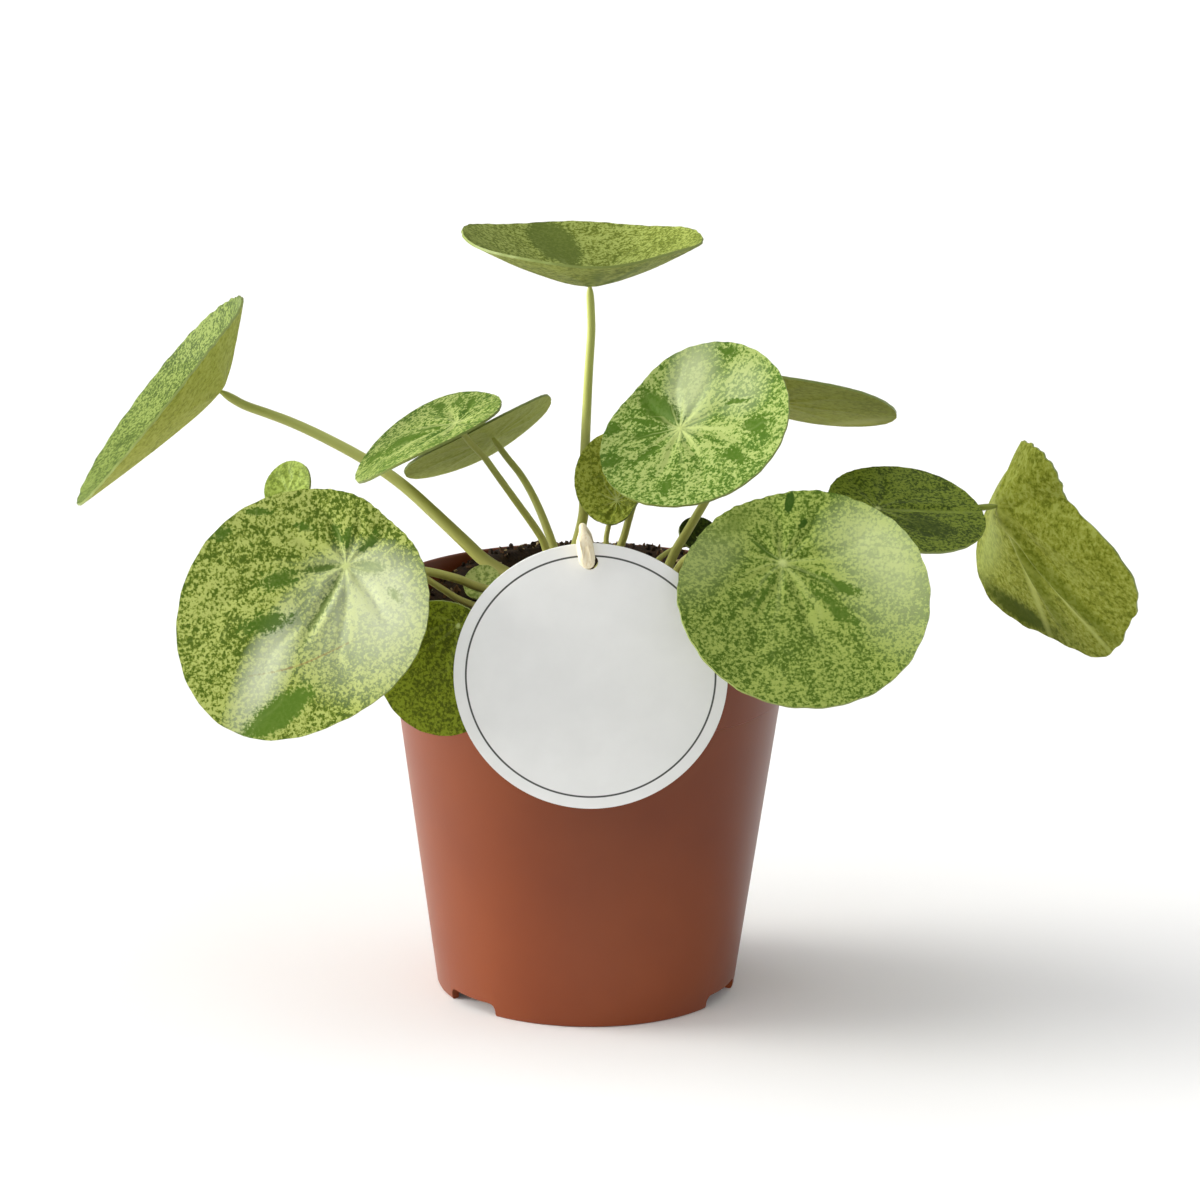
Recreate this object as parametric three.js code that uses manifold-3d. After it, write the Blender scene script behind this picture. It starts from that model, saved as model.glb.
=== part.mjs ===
// A potted Chinese money plant: a 12 cm nursery pot, its soil, a short main stem
// and an offset, fifteen round leaves on long stalks, and a round card tied on.
// Millimetres, +Z up. The pot's axis is the Z axis and the floor is Z = 0.
// The viewer of the plant stands on the -Y side.
import * as THREE from "three";
import { mergeVertices } from "three/addons/utils/BufferGeometryUtils.js";
import Module from "manifold-3d";

const wasm = await Module();
wasm.setup();

// Driving dimensions.
const CLEARANCE = 0.3;
const POT_HEIGHT = 117;
const RIM_RADIUS = 60;
const BASE_RADIUS = 43.85;
const WALL = 1.5;
const FOOT_HEIGHT = 4;
const FOOT_WIDTH = 2.6;
const FLOOR_THICKNESS = 1.8;
const BAND_HEIGHT = 29;
const BAND_STEP = 0.4;
const NOTCH_WIDTH = 19.5;
const NOTCH_HEIGHT = 3.7;
const NOTCH_CORNER = 2;
const NOTCH_BEARINGS = [-139, -24, 98];
const DRAIN_HOLE_RADIUS = 4;
const DRAIN_HOLE_COUNT = 6;
const DRAIN_RING_RADIUS = 27;
const POT_SIDES = 64;

const BLADE_THICKNESS = 0.8;
const BLADE_SPOKES = 32;
const BLADE_RINGS = 5;
const STALK_SIDES = 8;

const CARD_RADIUS = 37.8;
const CARD_THICKNESS = 0.8;
const CARD_CENTRE = new THREE.Vector3(0.6, -61.2, 108.5);
const CARD_CURL_RADIUS = 420;
const CARD_HOLE_RADIUS = 2.3;
const CARD_HOLE_HEIGHT = 32.6;

// The tie's centre line: out of the card's hole, over its top edge, round the
// tallest stalk and back to the hole behind the card.
const TIE_ROUTE = [
  [0.3, -61.2, 141.1], [-0.6, -64.3, 142], [-1.1, -65.2, 145], [-1.8, -63.8, 148.6],
  [-2.1, -59.5, 150.4], [-1.8, -52, 148.4], [-0.4, -36, 142], [0.1, -18, 134.2],
  [-0.6, -6, 130], [-0.9, 1, 128.4], [-1.7, 5.9, 127.5], [-4.4, 7.7, 127.2],
  [-7.1, 6, 127.2], [-7.7, 1, 127.8], [-6.8, -6, 128.4], [-4.8, -18, 129.8],
  [-2.2, -36, 133], [0, -52, 138], [0.4, -58.4, 140.4],
];
const TIE_RADIUS = 1;
const TIE_BELLY = 1.35;

const SOIL_LEVEL = 105.5;
const STEM_HOLE_DEPTH = 24;

const STEMS = {
  main: { foot: [-5, 5], radius: 5.6, top: 123 },
  offset: { foot: [16, 6], radius: 3.8, top: 118 },
};

// Each leaf: where its stalk meets the blade (navel), the way its upper side
// looks (face), the way its tip points (tip), its diameter, and its own shape.
// forward is how far the navel sits behind the blade's centre, in radii.
// funnel, along and across raise the margin, in radii; twist turns it askew.
// lobes are bumps and bays of the margin: angle from the tip, gain, spread, rise.
// The stalk leaves its stem at a bearing (0 is +X, 90 is +Y) and a height.
const LEAVES = [
  {
    name: "01", navel: [-1, 0, 206.6], face: [0, 0, 1], tip: [-1, 0, 0],
    diameter: 68, forward: 0.07, funnel: 0.34, along: 0.08, wave: 0.01,
    stalk: { stem: "main", bearing: 0, height: 0, thick: [3.2, 2.2],
      via: [[-2.1, 0.3, 140], [-2, 0.3, 153], [-1.2, -0.2, 178], [-0.4, 0, 197]] },
  },
  {
    name: "02", navel: [-110.1, 49.5, 164.4], face: [-0.8, -0.05, 0.65], tip: [-0.65, 0, -0.75],
    diameter: 78, forward: 0.35, funnel: 0.3, across: 0.05,
    stalk: { stem: "main", bearing: 160, height: 116, thick: [4.2, 2.6],
      via: [[-27.5, 11, 121], [-41, 17, 131.5], [-58.5, 28.4, 143.9], [-84.5, 41, 155.2]] },
  },
  {
    name: "03", navel: [-67, -56, 138], face: [-0.15, -0.9, 0.4], tip: [-0.6, -0.2, -0.8],
    diameter: 75, forward: 0.5, width: 0.9, funnel: 0.05, along: -0.05, wave: 0.015,
    lobes: [[0.7, -0.1, 0.5, 0], [-1.2, 0.05, 0.6, 0], [3, -0.08, 0.5, 0]],
    stalk: { stem: "main", bearing: 205, height: 115, thick: [2.8, 2.2],
      via: [[-30, -12, 120.6], [-36.5, -21, 125.4], [-46, -35, 131.4], [-59, -49, 136]] },
  },
  {
    name: "04", navel: [-85.5, -14, 148.5], face: [-0.5, -0.7, 0.5], tip: [-0.1, 0.3, 0.9],
    diameter: 15.5, forward: 0.2, funnel: 0.1,
    stalk: { stem: "main", bearing: 190, height: 110, thick: [2.2, 1.5],
      via: [[-20, 0, 110.6], [-35, -3, 114], [-46, -8, 121.9], [-68, -12, 137]] },
  },
  {
    name: "05", navel: [-38.5, 2, 165.6], face: [-0.35, -0.08, 0.9], tip: [-0.9, 0, -0.35],
    diameter: 47, forward: 0.4, funnel: 0.1, along: -0.15,
    stalk: { stem: "main", bearing: 135, height: 120, thick: [2.4, 1.8],
      via: [[-14, 10, 130], [-20, 8, 139.4], [-26, 6, 148.3], [-32, 4, 157]] },
  },
  {
    name: "06", navel: [-29, 30, 155.6], face: [-0.5, 0.35, 0.8], tip: [-0.9, -0.2, -0.5],
    diameter: 48, forward: 0.15, along: 0.1,
    stalk: { stem: "main", bearing: 105, height: 115, thick: [2.8, 1.9],
      via: [[-11, 16, 127], [-15.5, 22, 137], [-20, 26, 144.4], [-25.5, 28, 151]] },
  },
  {
    name: "07", navel: [25, -14, 168.3], face: [-0.4, -0.6, 0.75], tip: [0.8, -0.6, 0],
    diameter: 57, forward: 0.2, funnel: 0.05, across: 0.1,
    stalk: { stem: "main", bearing: -25, height: 119, thick: [2.4, 1.8],
      via: [[8.5, -2, 131], [11, -4, 140], [14, -6, 150], [21, -8, 162]] },
  },
  {
    name: "08", navel: [7.5, -9, 146.3], face: [-0.28, -0.84, 0.35], tip: [-0.05, 0.3, 0.9],
    diameter: 27, forward: 0.45, width: 0.9, funnel: 0.12,
    stalk: { stem: "main", bearing: -65, height: 119, thick: [1.8, 1.3],
      via: [[3.8, -6, 129], [5, -7, 138]] },
  },
  {
    name: "09", navel: [53, 30, 167.4], face: [0.16, 0.4, 0.9], tip: [0.98, 0, -0.19],
    diameter: 56, forward: 0.28, funnel: 0.06,
    stalk: { stem: "offset", bearing: 45, height: 112, thick: [3, 2],
      via: [[23.5, 14, 123.5], [29, 18, 132.5], [35, 22, 142], [46, 27, 158]] },
  },
  {
    name: "10", navel: [52.9, -55.5, 140], face: [0, -0.7, 0.7], tip: [0.4, -0.7, -0.6],
    diameter: 69, forward: 0.4, funnel: 0.05, across: 0.1, wave: 0.015,
    stalk: { stem: "offset", bearing: -60, height: 113, thick: [2.6, 2],
      via: [[24, -12, 125.6], [28.5, -22, 133.5], [38, -36, 138], [46, -45, 138.5]] },
  },
  {
    name: "11", navel: [82, 0, 142.5], face: [0.15, -0.3, 0.93], tip: [0.98, 0, -0.15],
    diameter: 46, forward: 0.36, funnel: 0.06,
    stalk: { stem: "offset", bearing: -15, height: 110.5, thick: [2.6, 1.9],
      via: [[29, 2, 117], [40, 1, 126], [60, 0, 137], [74, 0, 140.5]] },
  },
  {
    name: "12", navel: [117.2, 8, 142.1], face: [0.9, 0.3, 0.3], tip: [0.55, 0, -0.9],
    diameter: 63, forward: 0.5, width: 1.1, funnel: 0.4, twist: -0.2,
    lobes: [[-2.2, 0.15, 0.4, 0], [-1.5, -0.3, 0.3, 0], [-0.9, 0.12, 0.4, 0],
      [-0.1, 0.1, 0.25, 0], [1, 0.15, 0.5, -0.2], [2.3, -0.35, 0.7, 0]],
    stalk: { stem: "offset", bearing: 8, height: 115.5, thick: [2.8, 1.9],
      via: [[32, 10, 122], [60, 12, 130], [88, 12, 135.6], [105, 10.5, 138.4], [112.2, 9.3, 141]] },
  },
  {
    name: "13", navel: [-36, -52, 120.5], face: [-0.3, -0.95, 0.08], tip: [-0.3, 0.1, -0.9],
    diameter: 38, forward: 0.7, funnel: 0.04,
    stalk: { stem: "main", bearing: -120, height: 112, thick: [2.4, 1.8],
      via: [[-15, -18, 117], [-26, -36, 121.6], [-33.5, -47, 122]] },
  },
  {
    name: "14", navel: [31, 28, 126.5], face: [0.2, -0.6, 0.7], tip: [0.3, 0.3, 0.5],
    diameter: 12, forward: 0.2, funnel: 0.1,
    stalk: { stem: "offset", bearing: 95, height: 116, thick: [1.8, 1.3],
      via: [[19, 18, 121.5], [26, 26, 124.5]] },
  },
  {
    name: "15", navel: [-30.3, -1.5, 118.2], face: [-0.2, -0.7, 0.6], tip: [-0.3, -0.2, 0.7],
    diameter: 11, forward: 0.3, funnel: 0.1,
    stalk: { stem: "main", bearing: 160, height: 112.5, thick: [1.6, 1.1],
      via: [[-20, 7, 113.5], [-28, 4, 115.2]] },
  },
];

// Materials, as the eye sees them on the real plant.
const TERRACOTTA = new THREE.MeshStandardMaterial({ color: 0xb4694a, roughness: 0.5 });
const SOIL = new THREE.MeshStandardMaterial({ color: 0x2c2018, roughness: 0.95 });
const BARK = new THREE.MeshStandardMaterial({ color: 0x6b5a38, roughness: 0.8 });
const STALK = new THREE.MeshStandardMaterial({ color: 0x9a9a44, roughness: 0.45 });
const BLADE = new THREE.MeshStandardMaterial({ color: 0x86a83c, roughness: 0.4 });
const CARD = new THREE.MeshStandardMaterial({ color: 0xe9eaea, roughness: 0.6 });
const RAFFIA = new THREE.MeshStandardMaterial({ color: 0xe4d9b8, roughness: 0.85 });

const degrees = THREE.MathUtils.degToRad;

// A body with merged vertices and no seams, ready to be cut or placed.
function closed(geometry) {
  const bare = geometry.clone();
  bare.deleteAttribute("normal");
  bare.deleteAttribute("uv");
  const merged = mergeVertices(bare, 1e-4);
  const corners = merged.index.array;
  const kept = [];
  for (let i = 0; i < corners.length; i += 3) {
    const [a, b, c] = corners.slice(i, i + 3);
    if (a !== b && b !== c && c !== a) kept.push(a, b, c);
  }
  merged.setIndex(kept);
  return merged;
}

function solid(geometry) {
  const body = closed(geometry);
  const vertProperties = Float32Array.from(body.attributes.position.array);
  const triVerts = Uint32Array.from(body.index.array);
  return new wasm.Manifold(new wasm.Mesh({ numProp: 3, vertProperties, triVerts }));
}

function geometryOf(manifold) {
  const { vertProperties, triVerts } = manifold.getMesh();
  const geometry = new THREE.BufferGeometry();
  geometry.setAttribute("position", new THREE.BufferAttribute(Float32Array.from(vertProperties), 3));
  geometry.setIndex(Array.from(triVerts));
  geometry.computeVertexNormals();
  return geometry;
}

// Turns a lathe or cylinder from three's Y axis onto the Z axis.
function upright(geometry) {
  return geometry.rotateX(Math.PI / 2);
}

function plug(x, y, low, high, radius, sides = 24) {
  const cylinder = upright(new THREE.CylinderGeometry(radius, radius, high - low, sides));
  return solid(cylinder.translate(x, y, (low + high) / 2));
}

// The outer wall is one straight taper from the foot to the rim.
function wallRadius(z) {
  return BASE_RADIUS + ((RIM_RADIUS - BASE_RADIUS) * z) / POT_HEIGHT;
}

// A gap between two feet, rounded at its upper corners, cut along the radius.
function notch(bearing) {
  const half = NOTCH_WIDTH / 2;
  const shoulder = NOTCH_HEIGHT - NOTCH_CORNER;
  const outline = new THREE.Shape();
  outline.moveTo(-half, -1);
  outline.lineTo(half, -1);
  outline.lineTo(half, shoulder);
  outline.absarc(half - NOTCH_CORNER, shoulder, NOTCH_CORNER, 0, Math.PI / 2);
  outline.lineTo(NOTCH_CORNER - half, NOTCH_HEIGHT);
  outline.absarc(NOTCH_CORNER - half, shoulder, NOTCH_CORNER, Math.PI / 2, Math.PI);
  const depth = FOOT_WIDTH + 6;
  const cutter = new THREE.ExtrudeGeometry(outline, { depth, curveSegments: 4, bevelEnabled: false });
  const outward = new THREE.Vector3(Math.cos(bearing), Math.sin(bearing), 0);
  const up = new THREE.Vector3(0, 0, 1);
  const sideways = up.clone().cross(outward);
  cutter.applyMatrix4(new THREE.Matrix4().makeBasis(sideways, up, outward));
  const start = outward.multiplyScalar(BASE_RADIUS - FOOT_WIDTH - 3);
  return solid(cutter.translate(start.x, start.y, 0));
}

function potGeometry() {
  const floorTop = FOOT_HEIGHT + FLOOR_THICKNESS;
  const bandFoot = POT_HEIGHT - BAND_HEIGHT;
  const round = 0.6;
  const profile = [
    [0, FOOT_HEIGHT],
    [BASE_RADIUS - FOOT_WIDTH, FOOT_HEIGHT],
    [BASE_RADIUS - FOOT_WIDTH, 0],
    [BASE_RADIUS - BAND_STEP - round, 0],
    [wallRadius(round) - BAND_STEP, round],
    [wallRadius(bandFoot) - BAND_STEP, bandFoot],
    [wallRadius(bandFoot + BAND_STEP), bandFoot + BAND_STEP],
    [wallRadius(POT_HEIGHT - round), POT_HEIGHT - round],
    [RIM_RADIUS - round, POT_HEIGHT],
    [RIM_RADIUS - WALL - BAND_STEP + 0.3, POT_HEIGHT],
    [wallRadius(POT_HEIGHT - round) - WALL - BAND_STEP, POT_HEIGHT - round],
    [wallRadius(bandFoot) - WALL - BAND_STEP, bandFoot],
    [wallRadius(floorTop) - WALL - BAND_STEP, floorTop],
    [0, floorTop],
  ].map(([r, z]) => new THREE.Vector2(r, z));
  let pot = solid(upright(new THREE.LatheGeometry(profile, POT_SIDES)));

  for (const bearing of NOTCH_BEARINGS) pot = pot.subtract(notch(degrees(bearing)));
  for (let i = 0; i < DRAIN_HOLE_COUNT; i += 1) {
    const turn = (i * 2 * Math.PI) / DRAIN_HOLE_COUNT;
    const x = DRAIN_RING_RADIUS * Math.cos(turn);
    const y = DRAIN_RING_RADIUS * Math.sin(turn);
    pot = pot.subtract(plug(x, y, FOOT_HEIGHT - 1, floorTop + 1, DRAIN_HOLE_RADIUS, 16));
  }
  return geometryOf(pot);
}

// Loose potting soil: low at the front and left, heaped against the back wall.
function soilHeight(x, y) {
  const heap = 10.5 * Math.exp(-(((x - 14) / 36) ** 2) - ((y - 44) / 30) ** 2);
  const crown = 2 * Math.exp(-(((x - 4) / 20) ** 2) - ((y - 4) / 16) ** 2);
  const lumps = 0.55 * Math.sin(0.43 * x + 1.1) * Math.cos(0.39 * y - 0.4)
    + 0.4 * Math.sin(0.83 * x - 0.71 * y + 2.2);
  return SOIL_LEVEL + heap + crown + lumps;
}

function soilGeometry() {
  const inside = (z) => wallRadius(z) - WALL - BAND_STEP - CLEARANCE;
  const floor = FOOT_HEIGHT + FLOOR_THICKNESS + CLEARANCE;
  const rings = 8;
  const profile = [new THREE.Vector2(0, floor), new THREE.Vector2(inside(floor), floor)];
  for (let i = 0; i <= rings; i += 1) {
    profile.push(new THREE.Vector2(inside(SOIL_LEVEL) * (1 - i / rings), SOIL_LEVEL));
  }
  const geometry = upright(new THREE.LatheGeometry(profile, 40));
  const place = geometry.attributes.position;
  for (let i = 0; i < place.count; i += 1) {
    if (place.getZ(i) > SOIL_LEVEL - 1) {
      const x = place.getX(i);
      const y = place.getY(i);
      place.setZ(i, Math.min(soilHeight(x, y), POT_HEIGHT - 0.5));
    }
  }
  let soil = solid(geometry);
  for (const { foot: [x, y], radius, top } of Object.values(STEMS)) {
    const bottom = SOIL_LEVEL - STEM_HOLE_DEPTH;
    soil = soil.subtract(plug(x, y, bottom, top + 5, radius + CLEARANCE));
  }
  return geometryOf(soil);
}

// A short upright stem, ringed by the scars of fallen leaves.
function stemGeometry({ foot: [x, y], radius, top }) {
  const bottom = SOIL_LEVEL - STEM_HOLE_DEPTH + CLEARANCE;
  const profile = [new THREE.Vector2(0, bottom), new THREE.Vector2(radius, bottom)];
  const scars = 5;
  const scarPitch = 3.2;
  for (let i = scars; i >= 1; i -= 1) {
    const z = top - 1.6 - i * scarPitch;
    profile.push(new THREE.Vector2(radius, z));
    profile.push(new THREE.Vector2(radius - 0.4, z + 0.8));
  }
  profile.push(new THREE.Vector2(radius - 0.4, top - 2));
  profile.push(new THREE.Vector2(radius - 1.6, top));
  profile.push(new THREE.Vector2(0, top));
  return upright(new THREE.LatheGeometry(profile, 16)).translate(x, y, 0);
}

// The right-handed frame of a blade: tip, side and face.
function bladeFrame(leaf) {
  const face = new THREE.Vector3(...leaf.face).normalize();
  const tip = new THREE.Vector3(...leaf.tip);
  tip.addScaledVector(face, -tip.dot(face)).normalize();
  return { tip, face, side: face.clone().cross(tip) };
}

// The middle of the blade at a share of the way from navel to margin.
function bladePoint(leaf, share, angle) {
  const { diameter, forward = 0.2, width = 1, funnel = 0, along = 0, across = 0 } = leaf;
  const { wave = 0, twist = 0, lobes = [] } = leaf;
  const radius = diameter / 2;
  const offset = forward * Math.cos(angle);
  let margin = offset + Math.sqrt(1 - forward ** 2 + offset ** 2);
  let lift = wave * Math.cos(5 * angle + 1);
  for (const [middle, gain, spread, rise] of lobes) {
    const away = Math.atan2(Math.sin(angle - middle), Math.cos(angle - middle));
    const near = Math.exp(-((away / spread) ** 2));
    margin *= 1 + gain * near;
    lift += rise * near;
  }
  const x = share * margin * Math.cos(angle);
  const y = share * margin * Math.sin(angle) * width;
  const z = funnel * share ** 1.3 + along * x * x + across * y * y + twist * x * y
    + lift * share ** 2;
  return [x * radius, y * radius, z * radius];
}

// Two alike skins either side of the middle surface, closed by a margin strip.
function bladeGeometry(leaf) {
  const { tip, face, side } = bladeFrame(leaf);
  const sheet = closed(new THREE.RingGeometry(0, 1, BLADE_SPOKES, BLADE_RINGS));
  const place = sheet.attributes.position;
  for (let i = 0; i < place.count; i += 1) {
    const share = Math.hypot(place.getX(i), place.getY(i));
    const angle = Math.atan2(place.getY(i), place.getX(i));
    const [x, y, z] = bladePoint(leaf, share, angle);
    const point = new THREE.Vector3(...leaf.navel)
      .addScaledVector(tip, x).addScaledVector(side, y).addScaledVector(face, z);
    place.setXYZ(i, point.x, point.y, point.z);
  }
  sheet.computeVertexNormals();
  return closed(thickened(sheet, BLADE_THICKNESS));
}

function thickened(sheet, thickness) {
  const place = sheet.attributes.position;
  const normal = sheet.attributes.normal;
  const corners = Array.from(sheet.index.array);
  const points = [];
  for (const half of [thickness / 2, -thickness / 2]) {
    for (let i = 0; i < place.count; i += 1) {
      points.push(place.getX(i) + half * normal.getX(i));
      points.push(place.getY(i) + half * normal.getY(i));
      points.push(place.getZ(i) + half * normal.getZ(i));
    }
  }
  const under = place.count;
  const triangles = [...corners];
  const edges = new Set();
  for (let i = 0; i < corners.length; i += 3) {
    const [a, b, c] = corners.slice(i, i + 3);
    triangles.push(c + under, b + under, a + under);
    for (const edge of [[a, b], [b, c], [c, a]]) edges.add(edge.join(" "));
  }
  for (const edge of edges) {
    const [a, b] = edge.split(" ").map(Number);
    if (!edges.has(`${b} ${a}`)) triangles.push(a, a + under, b, b, a + under, b + under);
  }
  const geometry = new THREE.BufferGeometry();
  geometry.setAttribute("position", new THREE.Float32BufferAttribute(points, 3));
  geometry.setIndex(triangles);
  return geometry;
}

// A tapered round rod bent along a curve, closed at both ends.
function rodAlong(curve, thickAtStart, thickAtEnd, steps) {
  const rod = new THREE.CylinderGeometry(thickAtEnd / 2, thickAtStart / 2, 1, STALK_SIDES, steps);
  const frames = curve.computeFrenetFrames(steps, false);
  const place = rod.attributes.position;
  for (let i = 0; i < place.count; i += 1) {
    const station = Math.round((place.getY(i) + 0.5) * steps);
    const point = curve.getPointAt(station / steps)
      .addScaledVector(frames.normals[station], place.getX(i))
      .addScaledVector(frames.binormals[station], -place.getZ(i));
    place.setXYZ(i, point.x, point.y, point.z);
  }
  return closed(rod);
}

function stalkCurve(leaf) {
  const { stem, bearing, height, thick, via } = leaf.stalk;
  const { foot: [x, y], radius, top } = STEMS[stem];
  const { face } = bladeFrame(leaf);
  const end = new THREE.Vector3(...leaf.navel)
    .addScaledVector(face, -(BLADE_THICKNESS / 2 + CLEARANCE + 0.1));
  const rise = end.clone().addScaledVector(face, -thick[1] * 1.2);
  const turn = degrees(bearing);
  const out = new THREE.Vector3(Math.cos(turn), Math.sin(turn), 0);
  const start = new THREE.Vector3(x, y, height).addScaledVector(out, radius + CLEARANCE);
  const shoulder = start.clone().addScaledVector(out, 1.2);
  if (height === 0) {
    start.set(x, y, top + CLEARANCE);
    shoulder.set(x, y, top + 2.5);
  }
  const points = via.map((point) => new THREE.Vector3(...point));
  return new THREE.CatmullRomCurve3([start, shoulder, ...points, rise, end], false, "centripetal");
}

function stalkGeometry(leaf) {
  const curve = stalkCurve(leaf);
  const steps = Math.max(8, Math.min(16, Math.round(curve.getLength() / 6)));
  return rodAlong(curve, leaf.stalk.thick[0], leaf.stalk.thick[1], steps);
}

// The card hangs upright, its sides curled back a little, with a punched hole.
function cardGeometry() {
  const disc = upright(new THREE.CylinderGeometry(CARD_RADIUS, CARD_RADIUS, CARD_THICKNESS, 64));
  const hole = plug(0, CARD_HOLE_HEIGHT, -5, 5, CARD_HOLE_RADIUS, 20);
  const card = geometryOf(solid(disc).subtract(hole)).rotateX(Math.PI / 2);
  const place = card.attributes.position;
  for (let i = 0; i < place.count; i += 1) {
    const x = place.getX(i);
    place.setY(i, place.getY(i) + (x * x) / (2 * CARD_CURL_RADIUS));
  }
  return card.translate(CARD_CENTRE.x, CARD_CENTRE.y, CARD_CENTRE.z);
}

// A soft strand in a closed loop, fattest where it lies over the card.
function tieGeometry() {
  const steps = 48;
  const route = new THREE.CatmullRomCurve3(TIE_ROUTE.map((p) => new THREE.Vector3(...p)), true);
  const frames = route.computeFrenetFrames(steps, true);
  const belly = new THREE.Vector3(...TIE_ROUTE[2]);
  const ring = new THREE.TorusGeometry(2, 1, 8, steps);
  const place = ring.attributes.position;
  for (let i = 0; i < place.count; i += 1) {
    const turn = Math.atan2(place.getY(i), place.getX(i)) / (2 * Math.PI);
    const station = Math.round(((turn + 1) % 1) * steps);
    const centre = route.getPointAt((station / steps) % 1);
    const far = centre.distanceTo(belly) / 4.5;
    const thick = TIE_RADIUS + TIE_BELLY * Math.exp(-(far ** 4));
    const outward = Math.hypot(place.getX(i), place.getY(i)) - 2;
    centre.addScaledVector(frames.normals[station], -outward * thick);
    centre.addScaledVector(frames.binormals[station], place.getZ(i) * thick);
    place.setXYZ(i, centre.x, centre.y, centre.z);
  }
  return closed(ring);
}

const plant = new THREE.Group();

function add(name, geometry, material) {
  const mesh = new THREE.Mesh(geometry, material);
  mesh.name = name;
  plant.add(mesh);
}

add("pot", potGeometry(), TERRACOTTA);
add("soil", soilGeometry(), SOIL);
add("main_stem", stemGeometry(STEMS.main), BARK);
add("offset_stem", stemGeometry(STEMS.offset), BARK);
for (const leaf of LEAVES) {
  add(`stalk_${leaf.name}`, stalkGeometry(leaf), STALK);
  add(`blade_${leaf.name}`, bladeGeometry(leaf), BLADE);
}
add("name_card", cardGeometry(), CARD);
add("card_tie", tieGeometry(), RAFFIA);

export default plant;
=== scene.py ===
# %% [markdown]
# # A potted Chinese money plant
#
# The real object is a young variegated house plant in a terracotta-coloured nursery pot. Its
# round blades sit on long stalks, which join them near the middle instead of at the edge. A
# round card hangs in front on a soft tie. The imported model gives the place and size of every
# piece, and this lesson dresses each one: it reads a plain solid, makes a finer piece in the
# same place, and lets that piece stand for the solid.

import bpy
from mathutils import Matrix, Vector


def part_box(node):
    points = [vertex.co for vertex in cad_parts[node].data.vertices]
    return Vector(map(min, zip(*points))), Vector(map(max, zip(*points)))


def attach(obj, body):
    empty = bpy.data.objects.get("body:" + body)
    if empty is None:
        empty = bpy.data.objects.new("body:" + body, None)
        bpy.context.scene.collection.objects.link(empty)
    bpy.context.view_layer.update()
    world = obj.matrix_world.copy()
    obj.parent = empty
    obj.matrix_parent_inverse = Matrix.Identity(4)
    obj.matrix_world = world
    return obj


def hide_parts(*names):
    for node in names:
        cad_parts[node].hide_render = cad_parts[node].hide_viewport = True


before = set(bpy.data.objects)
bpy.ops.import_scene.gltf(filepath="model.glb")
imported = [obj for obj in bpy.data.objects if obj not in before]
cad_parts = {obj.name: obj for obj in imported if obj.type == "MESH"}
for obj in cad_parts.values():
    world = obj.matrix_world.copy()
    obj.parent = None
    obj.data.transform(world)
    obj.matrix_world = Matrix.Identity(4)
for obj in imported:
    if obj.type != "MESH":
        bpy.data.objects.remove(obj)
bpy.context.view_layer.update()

# %% Tools of the lesson
import math
import random

import bpy
import numpy as np
from mathutils import Matrix, Vector, noise

bpy.ops.object.select_all(action="DESELECT")
MM = 0.001
random.seed(4)
print("nodes in the frame:", len(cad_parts))

# %% [markdown]
# Every finished piece ends the same way: its place goes into its mesh, it gets its name and
# its materials, it rides with the plant, and the plain solid behind it is hidden. A plant has
# no joints, so there is one body, called root.


# %% Finish a piece
def use_alone(piece):
    """Makes one object the only selected one, and the active one."""
    bpy.ops.object.select_all(action="DESELECT")
    piece.select_set(True)
    bpy.context.view_layer.objects.active = piece


def put_in_place(piece, name, slot, materials, *nodes):
    """Names a piece, gives it its materials and lets it stand for its solids."""
    use_alone(piece)
    bpy.ops.object.transform_apply(location=True, rotation=True, scale=True)
    piece.name = name
    piece.data.name = name
    if not piece.data.materials:
        for material in materials:
            piece.data.materials.append(material)
    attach(piece, "root")
    if nodes:
        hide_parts(*nodes)
    piece.select_set(False)
    print("finished:", name, "with polygons:", len(piece.data.polygons))


def put_modifier(piece, kind, **settings):
    """Adds one modifier, sets it and applies it."""
    use_alone(piece)
    bpy.ops.object.modifier_add(type=kind)
    modifier = piece.modifiers[-1]
    for name, value in settings.items():
        setattr(modifier, name, value)
    bpy.ops.object.modifier_apply(modifier=modifier.name)


def smooth_by_angle(piece, degrees):
    """Shades a piece smooth, except at edges sharper than an angle."""
    use_alone(piece)
    bpy.ops.object.shade_smooth_by_angle(angle=math.radians(degrees))


# %% [markdown]
# Colours are picked as hex values, the way the eye names them, and Blender mixes light in
# linear numbers, so one function turns the first into the second. Node trees are long to
# write out, so one more function adds a node of any kind, sets it, and fills its inputs with
# values, colours or links.


# %% Colour and nodes
def linear(hex_code, alpha=1.0):
    """An sRGB hex colour as linear red, green, blue and alpha."""
    channels = [int(hex_code[i:i + 2], 16) / 255 for i in (1, 3, 5)]
    return [c / 12.92 if c <= 0.04045 else ((c + 0.055) / 1.055) ** 2.4 for c in channels] + [alpha]


def node(tree, kind, inputs=None, stops=(), **settings):
    """Adds one shader node, sets it, and fills its inputs with values, hex colours or links."""
    made = tree.nodes.new("ShaderNode" + kind)
    for name, value in settings.items():
        setattr(made, name, value)
    for name, value in (inputs or {}).items():
        if isinstance(value, bpy.types.NodeSocket):
            tree.links.new(value, made.inputs[name])
        else:
            made.inputs[name].default_value = linear(value) if isinstance(value, str) else value
    for _ in stops[2:]:
        made.color_ramp.elements.new(0.5)
    for i, (position, colour) in enumerate(stops):
        made.color_ramp.elements[i].position = position
        made.color_ramp.elements[i].color = linear(colour)
    return made


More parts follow.
